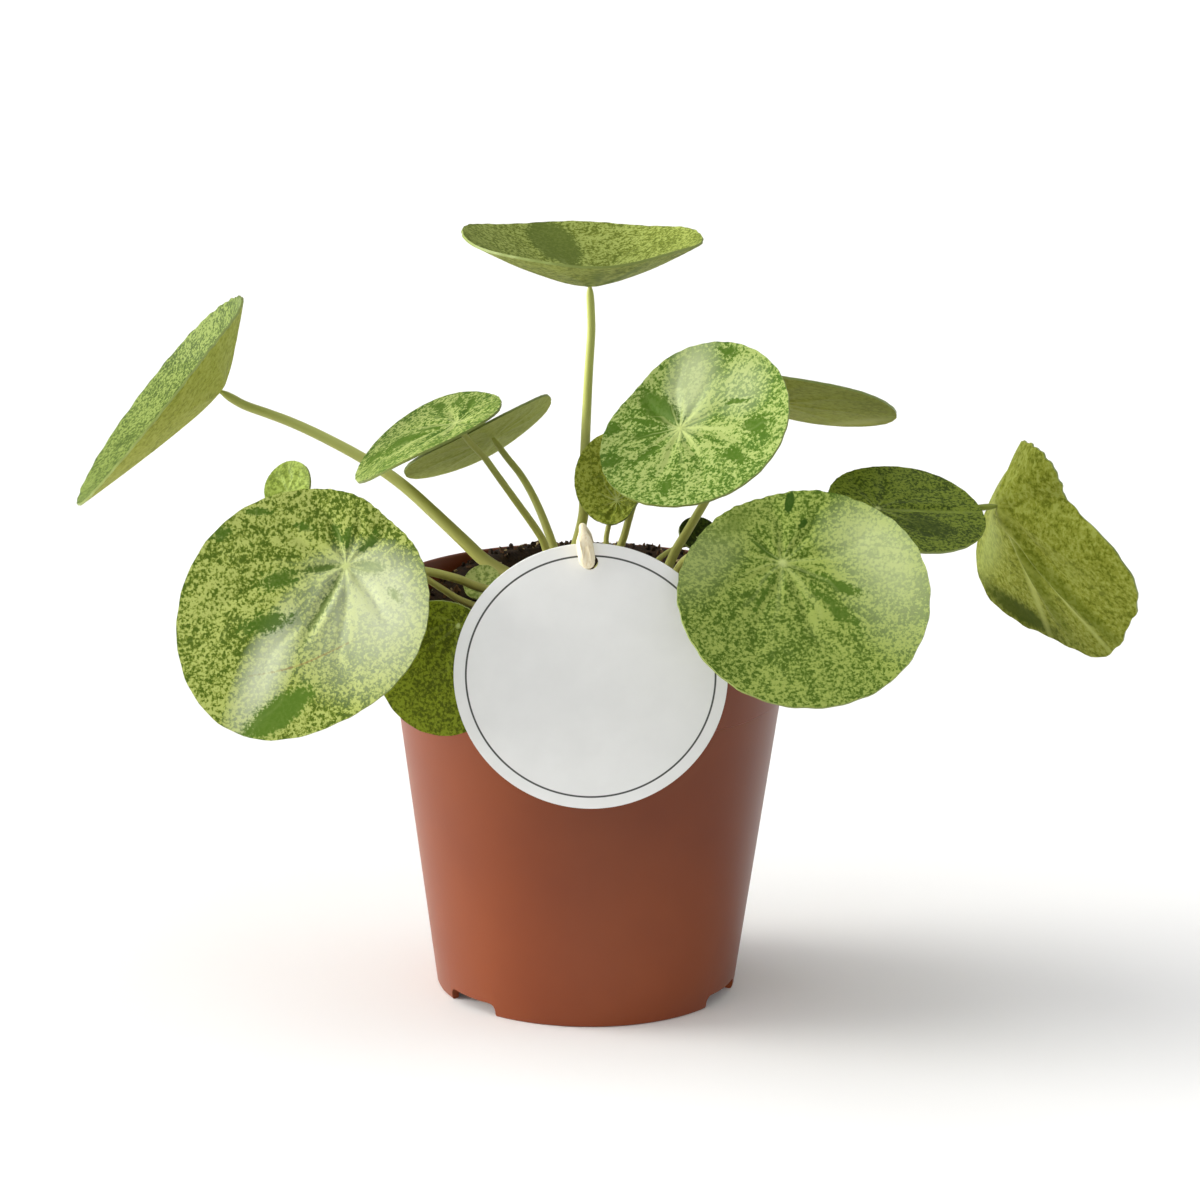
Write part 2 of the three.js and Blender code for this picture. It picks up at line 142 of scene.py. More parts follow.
def finish_named(name, roughness, ior=1.46, **sockets):
    """A new material with its principled shader, ready for a colour and a bump."""
    material = bpy.data.materials.new(name)
    material.use_nodes = True
    shader = material.node_tree.nodes["Principled BSDF"]
    shader.inputs["Roughness"].default_value = roughness
    shader.inputs["IOR"].default_value = ior
    for socket, value in sockets.items():
        shader.inputs[socket.replace("_", " ")].default_value = value
    print("finish:", name, "with roughness", roughness)
    return material, material.node_tree, shader


def dress(tree, shader, colour, height, strength, depth):
    """Ends a material: its shader gets a colour, and a bump from a pattern of heights."""
    tree.links.new(colour, shader.inputs["Base Color"])
    bump = node(tree, "Bump", {"Height": height, "Strength": strength, "Distance": depth})
    tree.links.new(bump.outputs["Normal"], shader.inputs["Normal"])


# %% [markdown]
# ## Camera
#
# The photograph was taken from a little above with a long lens. The lens and the camera's
# place were worked out from the ellipses of the pot's rim and foot: 14.4 degrees downwards,
# about 1.36 m away, with the object turned clockwise in the picture by two thirds of a degree.

# %% Camera
PHOTO_SIDE = 1200
FOCAL_LENGTH_PX = 4624.1
CAMERA_PLACE = (2.92 * MM, -1288.5 * MM, 446.6 * MM)
CAMERA_PITCH = math.radians(14.448)
CAMERA_ROLL = math.radians(0.668)

bpy.ops.object.camera_add(location=CAMERA_PLACE)
camera = bpy.context.object
camera.name = "photo_camera"
look_down = Matrix.Rotation(math.pi / 2 - CAMERA_PITCH, 4, "X")
roll = Matrix.Rotation(CAMERA_ROLL, 4, "Z")
camera.rotation_euler = (look_down @ roll).to_euler()
camera.data.sensor_width = 36
camera.data.lens = FOCAL_LENGTH_PX * camera.data.sensor_width / PHOTO_SIDE
camera.data.clip_end = 20
bpy.context.scene.camera = camera
print("lens in mm:", round(camera.data.lens, 2))

# %% [markdown]
# ## Floor and light
#
# The photograph is a studio shot on white: one broad soft light from the upper left, a white
# surround that fills the shadows, and a weaker light from the right that leaves a thin sheen
# on the pot's right edge. The floor is plain and pale.

# %% Floor
# Matte paper has no sheen of its own, so the eye sees only the soft shadow on it.
FLOOR_SIDE = 12000 * MM
bpy.ops.mesh.primitive_plane_add(size=FLOOR_SIDE, location=(0, 2, 0))
floor = bpy.context.object
floor.name = "floor"
paper_white, tree, shader = finish_named("studio paper, pale and matte", 0.9)
shader.inputs["Base Color"].default_value = linear("#fbfbfb")
floor.data.materials.append(paper_white)


# %% Lights
def soft_sun(name, azimuth, elevation, strength, spread, colour):
    """A far soft light, given by its bearing from +X and its height in degrees."""
    bpy.ops.object.light_add(type="SUN", location=(0, 0, 1))
    light = bpy.context.object
    light.name = name
    light.data.energy = strength
    light.data.angle = math.radians(spread)
    light.data.color = linear(colour)[:3]
    flat_way, rise = math.radians(azimuth), math.radians(elevation)
    way = (math.cos(flat_way) * math.cos(rise), math.sin(flat_way) * math.cos(rise), math.sin(rise))
    light.rotation_euler = Vector(way).to_track_quat("Z", "Y").to_euler()
    print(name, "strength:", strength)


soft_sun("key_light", -178, 50, 1.3, 80, "#ffffff")
soft_sun("side_light", 176, 2, 8.0, 40, "#fffdf6")
soft_sun("edge_light", 12, 15, 0.3, 30, "#ffffff")

# %% Glow from the floor
# A low soft lamp in front stands for light that the bright floor throws up at the pot's foot.
bpy.ops.object.light_add(type="SPOT", location=(0, -0.6, 0.05))
glow = bpy.context.object
glow.name = "floor_glow"
glow.data.energy = 7
glow.data.spot_size = math.radians(11)
glow.scale = (2.2, 1, 1)
glow.data.spot_blend = 1
glow.data.shadow_soft_size = 0.05
to_foot = Vector((0, 0, -6 * MM)) - glow.location
glow.rotation_euler = to_foot.to_track_quat("-Z", "Y").to_euler()
print("glow in watts:", glow.data.energy)

# %% White surround
# A white tent is brightest overhead, which lights the floor more than the pot's upright sides.
world = bpy.data.worlds.new("white tent")
bpy.context.scene.world = world
world.use_nodes = True
tree = world.node_tree
up = node(tree, "SeparateXYZ", {0: node(tree, "TexCoord").outputs["Generated"]}).outputs["Z"]
tent = node(tree, "MapRange", {0: up, 1: 0.0, 2: 1.0, 3: 0.04, 4: 0.87}).outputs[0]
tree.nodes["Background"].inputs["Color"].default_value = linear("#ffffff")
tree.links.new(tent, tree.nodes["Background"].inputs["Strength"])
bpy.context.scene.view_settings.view_transform = "Standard"

# %% [markdown]
# ## Pot plastic
#
# A nursery pot is injection-moulded polypropylene, tinted like terracotta. Moulding leaves a
# satin skin with a very fine pebble, and the colour has faint clouds where the plastic flowed.
# The eye gets one long soft highlight on the left, and a colour that is never quite even. The
# real pebble is finer than a pixel, so it is drawn coarser, at 0.8 mm.

# %% Pot plastic
plastic_name = "moulded polypropylene, terracotta tint"
pot_plastic, tree, shader = finish_named(plastic_name, 0.38, 1.49, Specular_IOR_Level=0.3)
place = node(tree, "TexCoord").outputs["Object"]
clouds = node(tree, "TexNoise", {"Vector": place, "Scale": 1 / (40 * MM), "Detail": 3})
flow = node(tree, "ValToRGB", {0: clouds.outputs["Fac"]}, [(0.3, "#703418"), (0.7, "#783a1a")])
pebble = node(tree, "TexNoise", {"Vector": place, "Scale": 1 / (0.8 * MM), "Detail": 4})
dress(tree, shader, flow.outputs[0], pebble.outputs["Fac"], 0.12, 0.1 * MM)

# %% [markdown]
# ## Pot
#
# The pot is a thin cup turned about the Z axis. It starts as a filled circle under the floor
# and grows by one extruded ring after another: down the inside of the foot, round its edge,
# up the outside to the rim, over the lip and down the inside to the floor. A step of 0.4 mm
# marks the lower edge of the rim band. Three gaps between the feet and six drain holes are
# then cut out of it.


# %% Turn a profile
def turned(profile, sides):
    """Turns (radius, height) points round the Z axis, by extruding a filled circle."""
    radius, height = profile[0]
    place = (0, 0, height)
    bpy.ops.mesh.primitive_circle_add(
        vertices=sides, radius=radius, fill_type="TRIFAN", location=place,
    )
    bpy.ops.object.transform_apply(location=True)
    bpy.ops.object.mode_set(mode="EDIT")
    bpy.ops.mesh.select_all(action="SELECT")
    for next_radius, next_height in profile[1:]:
        rise = (0, 0, next_height - height)
        grow = next_radius / radius
        bpy.ops.mesh.extrude_region_move(TRANSFORM_OT_translate={"value": rise})
        bpy.ops.transform.resize(value=(grow, grow, 1), center_override=(0, 0, next_height))
        radius, height = next_radius, next_height
    bpy.ops.mesh.select_all(action="SELECT")
    bpy.ops.mesh.normals_make_consistent(inside=False)
    bpy.ops.object.mode_set(mode="OBJECT")
    print("turned rings:", len(profile), "with sides:", sides)
    return bpy.context.object


# %% Pot
POT_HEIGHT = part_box("pot")[1].z
RIM_RADIUS = 60 * MM
BASE_RADIUS = 43.85 * MM
WALL = 1.5 * MM
FOOT_HEIGHT = 4 * MM
FOOT_WIDTH = 2.6 * MM
FLOOR_THICKNESS = 1.8 * MM
BAND_FOOT = POT_HEIGHT - 29 * MM
BAND_STEP = 0.4 * MM
POT_SIDES = 192


def wall_radius(z):
    """The outer wall is one straight taper."""
    return BASE_RADIUS + (RIM_RADIUS - BASE_RADIUS) * z / POT_HEIGHT


foot_inside = BASE_RADIUS - FOOT_WIDTH
floor_top = FOOT_HEIGHT + FLOOR_THICKNESS
profile = [(foot_inside, FOOT_HEIGHT), (foot_inside, 0.3 * MM), (foot_inside + 0.3 * MM, 0)]
foot_outside = wall_radius(0) - BAND_STEP
profile += [(foot_outside - 0.7 * MM, 0), (foot_outside - 0.2 * MM, 0.2 * MM)]
profile += [(wall_radius(0.8 * MM) - BAND_STEP, 0.8 * MM)]
profile += [(wall_radius(BAND_FOOT * i / 6) - BAND_STEP, BAND_FOOT * i / 6) for i in range(1, 7)]
profile += [(wall_radius(BAND_FOOT + 0.4 * MM), BAND_FOOT + 0.4 * MM)]
lip = WALL / 2
lip_middle = RIM_RADIUS - lip - 0.1 * MM
profile += [(wall_radius(POT_HEIGHT - 9 * MM), POT_HEIGHT - 9 * MM)]
for i in range(7):
    turn = math.pi * i / 6
    height = POT_HEIGHT - lip * 0.8 + lip * 0.8 * math.sin(turn)
    profile.append((lip_middle + lip * math.cos(turn), height))
inside = WALL + BAND_STEP
profile += [(wall_radius(height) - inside, height) for height in (BAND_FOOT, floor_top)]
pot = turned(profile, POT_SIDES)


# %% Cut the foot gaps and drain holes
def cut_out(piece, cutter):
    """Cuts one object out of another, and takes the cutter away."""
    put_modifier(piece, "BOOLEAN", operation="DIFFERENCE", object=cutter, solver="EXACT")
    bpy.data.objects.remove(cutter)


GAP_BEARINGS = (-139, -24, 98)
GAP_WIDTH = 19.5 * MM
GAP_HEIGHT = 3.7 * MM
for bearing in GAP_BEARINGS:
    turn = math.radians(bearing)
    middle = BASE_RADIUS - FOOT_WIDTH / 2
    place = (middle * math.cos(turn), middle * math.sin(turn), GAP_HEIGHT / 2 - 2 * MM)
    bpy.ops.mesh.primitive_cube_add(size=1, location=place, rotation=(0, 0, turn))
    cutter = bpy.context.object
    cutter.scale = (FOOT_WIDTH + 3 * MM, GAP_WIDTH, GAP_HEIGHT + 4 * MM)
    bpy.ops.object.transform_apply(location=True, rotation=True, scale=True)
    outward = Vector((math.cos(turn), math.sin(turn), 0))
    bpy.ops.object.mode_set(mode="EDIT")
    bpy.ops.mesh.select_all(action="DESELECT")
    bpy.ops.object.mode_set(mode="OBJECT")
    for edge in cutter.data.edges:
        a, b = (cutter.data.vertices[i].co for i in edge.vertices)
        edge.select = a.z > 0 and b.z > 0 and abs((b - a).normalized().dot(outward)) > 0.9
    bpy.ops.object.mode_set(mode="EDIT")
    bpy.ops.mesh.select_mode(type="EDGE")
    bpy.ops.mesh.bevel(offset=2 * MM, segments=6, affect="EDGES")
    bpy.ops.mesh.select_mode(type="VERT")
    bpy.ops.object.mode_set(mode="OBJECT")
    cut_out(pot, cutter)

DRAIN_HOLES = 6
DRAIN_RING = 27 * MM
DRAIN_RADIUS = 4 * MM
HOLE_SIDES = 48
for i in range(DRAIN_HOLES):
    turn = 2 * math.pi * i / DRAIN_HOLES
    place = (DRAIN_RING * math.cos(turn), DRAIN_RING * math.sin(turn), FOOT_HEIGHT)
    bpy.ops.mesh.primitive_cylinder_add(
        vertices=HOLE_SIDES, radius=DRAIN_RADIUS, depth=12 * MM, location=place,
    )
    cut_out(pot, bpy.context.object)
print("foot gaps and drain holes:", len(GAP_BEARINGS), DRAIN_HOLES)

smooth_by_angle(pot, 35)
put_in_place(pot, "nursery_pot", "pot_plastic", [pot_plastic], "pot")

# %% [markdown]
# ## A round sheet to shape again and again
#
# The soil's surface, the card and all fifteen blades are round sheets. One master disc is
# modelled once: a filled circle, inset ring by ring, with its last face poked. Each vertex
# then has a share of the way out and an angle, and every sheet is this disc with its points
# moved. Its UV map keeps the flat disc, so that a pattern can radiate from the middle.

# %% Master disc
SHEET_RINGS = 30
SHEET_SPOKES = 160
bpy.ops.mesh.primitive_circle_add(vertices=SHEET_SPOKES, radius=1, fill_type="NGON")
master = bpy.context.object
master.name = "master_disc"
bpy.ops.object.mode_set(mode="EDIT")
bpy.ops.mesh.select_all(action="SELECT")
for _ in range(SHEET_RINGS - 1):
    bpy.ops.mesh.inset(thickness=1 / SHEET_RINGS)
bpy.ops.mesh.poke()
bpy.ops.mesh.select_all(action="SELECT")
bpy.ops.mesh.normals_make_consistent(inside=False)
bpy.ops.object.mode_set(mode="OBJECT")
while master.data.uv_layers:
    master.data.uv_layers.remove(master.data.uv_layers[0])
uv = master.data.uv_layers.new(name="radial").data
for loop in master.data.loops:
    spot = master.data.vertices[loop.vertex_index].co
    uv[loop.index].uv = (0.5 + 0.5 * spot.x, 0.5 + 0.5 * spot.y)

flat = np.array([vertex.co[:2] for vertex in master.data.vertices])
sheet_share = np.rint(np.hypot(flat[:, 0], flat[:, 1]) * SHEET_RINGS).astype(int)
sheet_spoke = np.rint(np.arctan2(flat[:, 1], flat[:, 0]) / (2 * math.pi) * SHEET_SPOKES).astype(int)
sheet_spoke %= SHEET_SPOKES
print("disc vertices:", len(flat), "outer ring:", int((sheet_share == SHEET_RINGS).sum()))


def sheet_from(points):
    """A copy of the master disc whose vertices take their places from a ring by spoke table."""
    use_alone(master)
    bpy.ops.object.duplicate()
    sheet = bpy.context.object
    places = points[sheet_share, sheet_spoke]
    sheet.data.vertices.foreach_set("co", places.astype(np.float32).ravel())
    sheet.data.update()
    return sheet


shares = np.linspace(0, 1, SHEET_RINGS + 1)[:, None]
angles = np.linspace(0, 2 * math.pi, SHEET_SPOKES, endpoint=False)[None, :]

# %% [markdown]
# ## Leaf skins
#
# The blades are variegated. The leaf mixes cells with and without green pigment, so its
# colour breaks up at every scale: flecks of about 1 mm, blotches of 4.5 mm, clouds of 14 mm.
# Three noises of those sizes, added into one level, draw all of it, and a ramp turns the
# level into a light, a middle and a dark green. The UV map tells how far out a spot is and in
# which direction from the navel, where the stalk joins, so that streaks, pale veins and the
# larger marks can be placed by it. The skin is waxy, which gives it a satin sheen, and on a
# few blades more of that sheen is painted on in pale coats.


# %% Level of green
BLOTCH_MM = 4.5
CLOUD_MM = 14
print("blotches and clouds in mm:", BLOTCH_MM, CLOUD_MM)


def green_level(tree, place, fleck_mm):
    """The level of green: flecks, blotches and clouds, round a middle of 0.5."""
    level = -0.6
    grains = []
    for size_mm, detail, weight in ((fleck_mm, 4, 1.6), (BLOTCH_MM, 2, 0.35), (CLOUD_MM, 1, 0.25)):
        size = {"Vector": place, "Scale": 1 / (size_mm * MM), "Detail": detail, "Roughness": 0.65}
        grains.append(node(tree, "TexNoise", size).outputs["Fac"])
        share = {0: grains[-1], 1: weight, 2: level}
        level = node(tree, "Math", share, operation="MULTIPLY_ADD").outputs[0]
    return level, grains[0], grains[1]


def blade_coordinates(tree):
    """The flat spot on the blade, its share of the way out, and its heading from the navel."""
    flat = node(tree, "UVMap", uv_map="radial").outputs["UV"]
    doubled = {0: flat, 1: (2, 2, 0), 2: (-1, -1, 0)}
    spot = node(tree, "VectorMath", doubled, operation="MULTIPLY_ADD").outputs[0]
    share = node(tree, "VectorMath", {0: spot}, operation="LENGTH").outputs["Value"]
    heading = node(tree, "VectorMath", {0: spot}, operation="NORMALIZE").outputs[0]
    return spot, share, heading


# %% [markdown]
# Some marks are too large and too plain to leave to chance, such as the dark wedges beside a
# navel. Each is an ellipse on the flat blade: how far out its centre is, its bearing from the
# tip in degrees, half its length and width as shares of the blade, and how far it turns away
# from the radial direction. Noise frays its edge, so that no mark looks stamped.


# %% Marks on a blade
def painted(tree, colour, spot, ragged, groups):
    """Paints groups of frayed ellipses over a colour."""
    if groups:
        print("  groups of marks:", len(groups))
    for paint, opacity, softness, fray, ellipses in groups:
        union = None
        torn = node(tree, "Math", {0: ragged, 1: fray}, operation="MULTIPLY").outputs[0]
        for share, bearing, length, width, turn in ellipses:
            way = math.radians(bearing)
            centre = (share * math.cos(way), share * math.sin(way), 0)
            turned_way = (0, 0, way + math.radians(turn))
            size = (length, width, 1)
            shape = {"Vector": spot, "Location": centre, "Rotation": turned_way, "Scale": size}
            local = node(tree, "Mapping", shape, vector_type="TEXTURE").outputs[0]
            reach = node(tree, "VectorMath", {0: local}, operation="LENGTH").outputs["Value"]
            frayed = node(tree, "Math", {0: reach, 1: torn}, operation="ADD").outputs[0]
            edges = {0: frayed, 1: 1 + softness, 2: 1 - softness, 3: 0.0, 4: opacity}
            inside = node(tree, "MapRange", edges).outputs[0]
            if union is not None:
                inside = node(tree, "Math", {0: union, 1: inside}, operation="MAXIMUM").outputs[0]
            union = inside
        coats = {0: union, 6: colour, 7: paint}
        colour = node(tree, "Mix", coats, data_type="RGBA").outputs[2]
    return colour


# %% Veins
UPPER_VEINS = 11
UNDER_VEINS = 9
print("veins drawn above and below:", UPPER_VEINS, UNDER_VEINS)


def vein_lines(tree, spot, share, count, width):
    """Thin wandering lines that radiate from the navel, as a mask."""
    parts = node(tree, "SeparateXYZ", {0: spot})
    sides = {0: parts.outputs["Y"], 1: parts.outputs["X"]}
    turn = node(tree, "Math", sides, operation="ARCTAN2").outputs[0]
    wander = node(tree, "TexNoise", {"Vector": spot, "Scale": 3.0, "Detail": 1}).outputs["Fac"]
    bent = node(tree, "Math", {0: wander, 1: 0.9, 2: turn}, operation="MULTIPLY_ADD").outputs[0]
    comb = node(tree, "Math", {0: bent, 1: math.pi / count}, operation="PINGPONG").outputs[0]
    gap = node(tree, "Math", {0: comb, 1: share}, operation="MULTIPLY").outputs[0]
    return node(tree, "MapRange", {0: gap, 1: width, 2: 0.2 * width}).outputs[0]


# %% Upper skin
def upper_skin(name, greens, rays, burst, pale_and_sheen, groups):
    """A blade's upper skin: flecks, then pale coats of variegation and painted sheen, then dark
    marks and painted crease shade.
    """
    light, middle, dark = greens.split()
    material, tree, shader = finish_named(name, 0.5, 1.45, Specular_IOR_Level=0.12)
    place = node(tree, "TexCoord").outputs["Object"]
    spot, share, heading = blade_coordinates(tree)
    level, flecks, blotches = green_level(tree, place, 0.9)

    deep = node(tree, "Math", {0: share, 1: 2.2}, operation="MULTIPLY").outputs[0]
    lift = node(tree, "CombineXYZ", {"Z": deep}).outputs[0]
    spread = {0: heading, 1: (3.6, 3.6, 3.6), 2: lift}
    around = node(tree, "VectorMath", spread, operation="MULTIPLY_ADD").outputs[0]
    streak = node(tree, "TexNoise", {"Vector": around, "Scale": 1.0, "Detail": 3}).outputs["Fac"]
    streak_away = node(tree, "Math", {0: streak, 1: 0.5}, operation="SUBTRACT").outputs[0]
    outwards = {0: share, 1: 0.08, 2: 0.7, 3: 1.5 * rays, 4: 0.2 * rays}
    near = node(tree, "MapRange", outwards).outputs[0]
    streaked = {0: streak_away, 1: near, 2: level}
    level = node(tree, "Math", streaked, operation="MULTIPLY_ADD").outputs[0]
    thin = node(tree, "VectorMath", {0: around, 1: (4, 4, 4)}, operation="MULTIPLY").outputs[0]
    thread = node(tree, "TexNoise", {"Vector": thin, "Scale": 1.0, "Detail": 2}).outputs["Fac"]
    thread_away = node(tree, "Math", {0: thread, 1: 0.5}, operation="SUBTRACT").outputs[0]
    threaded = {0: thread_away, 1: 0.5 * rays, 2: level}
    level = node(tree, "Math", threaded, operation="MULTIPLY_ADD").outputs[0]
    ragged = node(tree, "MapRange", {0: level, 1: 0.1, 2: 0.9, 3: -0.9, 4: 0.9}).outputs[0]

    is_middle = node(tree, "MapRange", {0: level, 1: 0.58, 2: 0.52}).outputs[0]
    is_dark = node(tree, "MapRange", {0: level, 1: 0.46, 2: 0.4}).outputs[0]
    greens = {0: is_middle, 6: light, 7: middle}
    colour = node(tree, "Mix", greens, data_type="RGBA").outputs[2]
    greens = {0: is_dark, 6: colour, 7: dark}
    colour = node(tree, "Mix", greens, data_type="RGBA").outputs[2]
    colour = painted(tree, colour, spot, ragged, pale_and_sheen)
    colour = painted(tree, colour, spot, ragged, groups)

    veins = vein_lines(tree, spot, share, UPPER_VEINS, 0.02)
    outwards = {0: share, 1: 0.03, 2: 0.5, 3: 0.85 * burst, 4: 0.1 * burst}
    fade = node(tree, "MapRange", outwards).outputs[0]
    veins = node(tree, "Math", {0: veins, 1: fade}, operation="MULTIPLY").outputs[0]
    navel = node(tree, "MapRange", {0: share, 1: 0.055, 2: 0.02, 3: 0.0, 4: 0.8}).outputs[0]
    pale = node(tree, "Math", {0: veins, 1: navel}, operation="MAXIMUM").outputs[0]
    veined = node(tree, "Mix", {0: pale, 6: colour, 7: "#c3cf84"}, data_type="RGBA").outputs[2]

    grainy = {0: flecks, 1: 0.35, 2: blotches}
    relief = node(tree, "Math", grainy, operation="MULTIPLY_ADD").outputs[0]
    sunken = {0: veins, 1: -0.5, 2: relief}
    relief = node(tree, "Math", sunken, operation="MULTIPLY_ADD").outputs[0]
    dress(tree, shader, veined, relief, 0.35, 0.5 * MM)
    return material


# %% Underside skin
def lower_skin(name, greens, groups):
    """A blade's underside: olive and duller, with raised veins and the flecks showing through."""
    light, middle, dark = greens.split()
    material, tree, shader = finish_named(name, 0.6, 1.4, Specular_IOR_Level=0.06)
    place = node(tree, "TexCoord").outputs["Object"]
    spot, share, heading = blade_coordinates(tree)
    level, flecks, blotches = green_level(tree, place, 1.4)
    stops = [(0.34, dark), (0.46, middle), (0.54, middle), (0.64, light)]
    colour = node(tree, "ValToRGB", {0: level}, stops).outputs[0]
    ragged = node(tree, "MapRange", {0: level, 1: 0.1, 2: 0.9, 3: -0.5, 4: 0.5}).outputs[0]
    colour = painted(tree, colour, spot, ragged, groups)
    veins = vein_lines(tree, spot, share, UNDER_VEINS, 0.028)
    fade = node(tree, "MapRange", {0: share, 1: 0.05, 2: 0.9, 3: 0.7, 4: 0.1}).outputs[0]
    veins = node(tree, "Math", {0: veins, 1: fade}, operation="MULTIPLY").outputs[0]
    veined = node(tree, "Mix", {0: veins, 6: colour, 7: light}, data_type="RGBA").outputs[2]
    raised = {0: veins, 1: 0.8, 2: blotches}
    relief = node(tree, "Math", raised, operation="MULTIPLY_ADD").outputs[0]
    dress(tree, shader, veined, relief, 0.35, 0.5 * MM)
    return material


# %% [markdown]
# ## Blades
#
# A blade is a thin living sheet, cupped or flat, seldom even. The plain solid has its form
# in 32 spokes and 5 rings. To refine it, its points are read ring by ring from the navel,
# smoothed round the rings with a Fourier series and along the spokes with a spline, and laid
# on the master disc. Then the blade gets what the solid leaves out: shallow valleys along
# the main veins, a low swelling between them, and a finely scalloped margin.


# %% Read a blade's rings
SOLID_RINGS = 5


def merged_copy(name):
    """The mesh of a plain solid, with its loose triangles sewn together."""
    copy = bpy.data.objects.new("scratch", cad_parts[name].data.copy())
    bpy.context.collection.objects.link(copy)
    use_alone(copy)
    bpy.ops.object.mode_set(mode="EDIT")
    bpy.ops.mesh.select_all(action="SELECT")
    bpy.ops.mesh.remove_doubles(threshold=0.002 * MM)
    bpy.ops.object.mode_set(mode="OBJECT")
    points = np.array([vertex.co for vertex in copy.data.vertices])
    neighbours = [set() for _ in points]
    for edge in copy.data.edges:
        a, b = edge.vertices
        neighbours[a].add(b)
        neighbours[b].add(a)
    bpy.data.objects.remove(copy)
    return points, neighbours


def rings_from(pole, neighbours, most=1000):
    """The rings of vertices round a pole, each walked in order."""
    seen = {pole}
    ring = [pole]
    rings = []
    while len(rings) < most:
        around = set().union(*(neighbours[i] for i in ring)) - seen
        if len(around) < 3:
            break
        seen |= around
        ring = [min(around)]
        while len(ring) < len(around):
            ring.append(next(i for i in neighbours[ring[-1]] if i in around and i not in ring))
        rings.append(ring)
    return rings


def blade_grid(number):
    """A blade's upper skin as a table of points: rings from the navel, spokes from the tip."""
    points, neighbours = merged_copy("blade_" + number)
    stalk = np.array([vertex.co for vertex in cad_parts["stalk_" + number].data.vertices])
    poles = sorted(range(len(points)), key=lambda i: -len(neighbours[i]))[:2]
    poles.sort(key=lambda i: np.linalg.norm(stalk - points[i], axis=1).min())
    under, upper = poles
    face = points[upper] - points[under]
    grid = [points[ring] for ring in rings_from(upper, neighbours, SOLID_RINGS)]
    before = np.repeat(points[upper][None], len(grid[0]), axis=0)
    table = [before]
    for k, ring in enumerate(grid):
        middle = ring.mean(axis=0)
        sweep = np.cross(ring - middle, np.roll(ring, -1, axis=0) - middle).sum(axis=0)
        if sweep @ face < 0:
            ring = ring[::-1]
        guess = 2 * table[-1] - table[-2] if k else ring
        shift = min(range(len(ring)), key=lambda s: ((np.roll(ring, s, axis=0) - guess) ** 2).sum())
        table.append(np.roll(ring, shift, axis=0))
    table = np.array(table)
    tip = np.linalg.norm(table[-1] - table[0, 0], axis=1).argmax()
    print("blade", number, "rings and spokes:", table.shape[:2])
    return np.roll(table, -tip, axis=1)


# %% Refine a grid
def spline(a, b, c, d, t):
    """A point between b and c on the curve through four points."""
    square = 2 * a - 5 * b + 4 * c - d
    cube = 3 * b - a - 3 * c + d
    return 0.5 * (2 * b + (c - a) * t + square * t ** 2 + cube * t ** 3)


print("half way from 1 to 2:", spline(0, 1, 2, 3, 0.5))


def refined(grid):
    """A coarse grid of rings and spokes, smoothed to the master disc's rings and spokes."""
    last = len(grid) - 1
    waves = np.fft.rfft(grid, axis=1)
    spread = np.fft.irfft(waves, n=SHEET_SPOKES, axis=1) * SHEET_SPOKES / grid.shape[1]
    across = np.roll(spread[1], SHEET_SPOKES // 2, axis=0)
    beyond = 2 * spread[last] - spread[last - 1]
    line = np.concatenate([across[None], spread, beyond[None]])
    fine = []
    for k in range(SHEET_RINGS + 1):
        step = k / SHEET_RINGS * last
        i = min(int(step), last - 1)
        fine.append(spline(line[i], line[i + 1], line[i + 2], line[i + 3], step - i))
    return np.array(fine)


def face_directions(points):
    """The unit normal of a grid of points at each of its points."""
    along = np.gradient(points, axis=0)
    round_about = np.roll(points, -1, axis=1) - np.roll(points, 1, axis=1)
    normal = np.cross(along, round_about)
    normal[0] = normal[1].mean(axis=0)
    return normal / np.linalg.norm(normal, axis=2, keepdims=True)


# %% Living detail
VEIN_VALLEYS = 9
VALLEY_HALF_WIDTH = 1.1 * MM
MARGIN_SHARE = 0.12


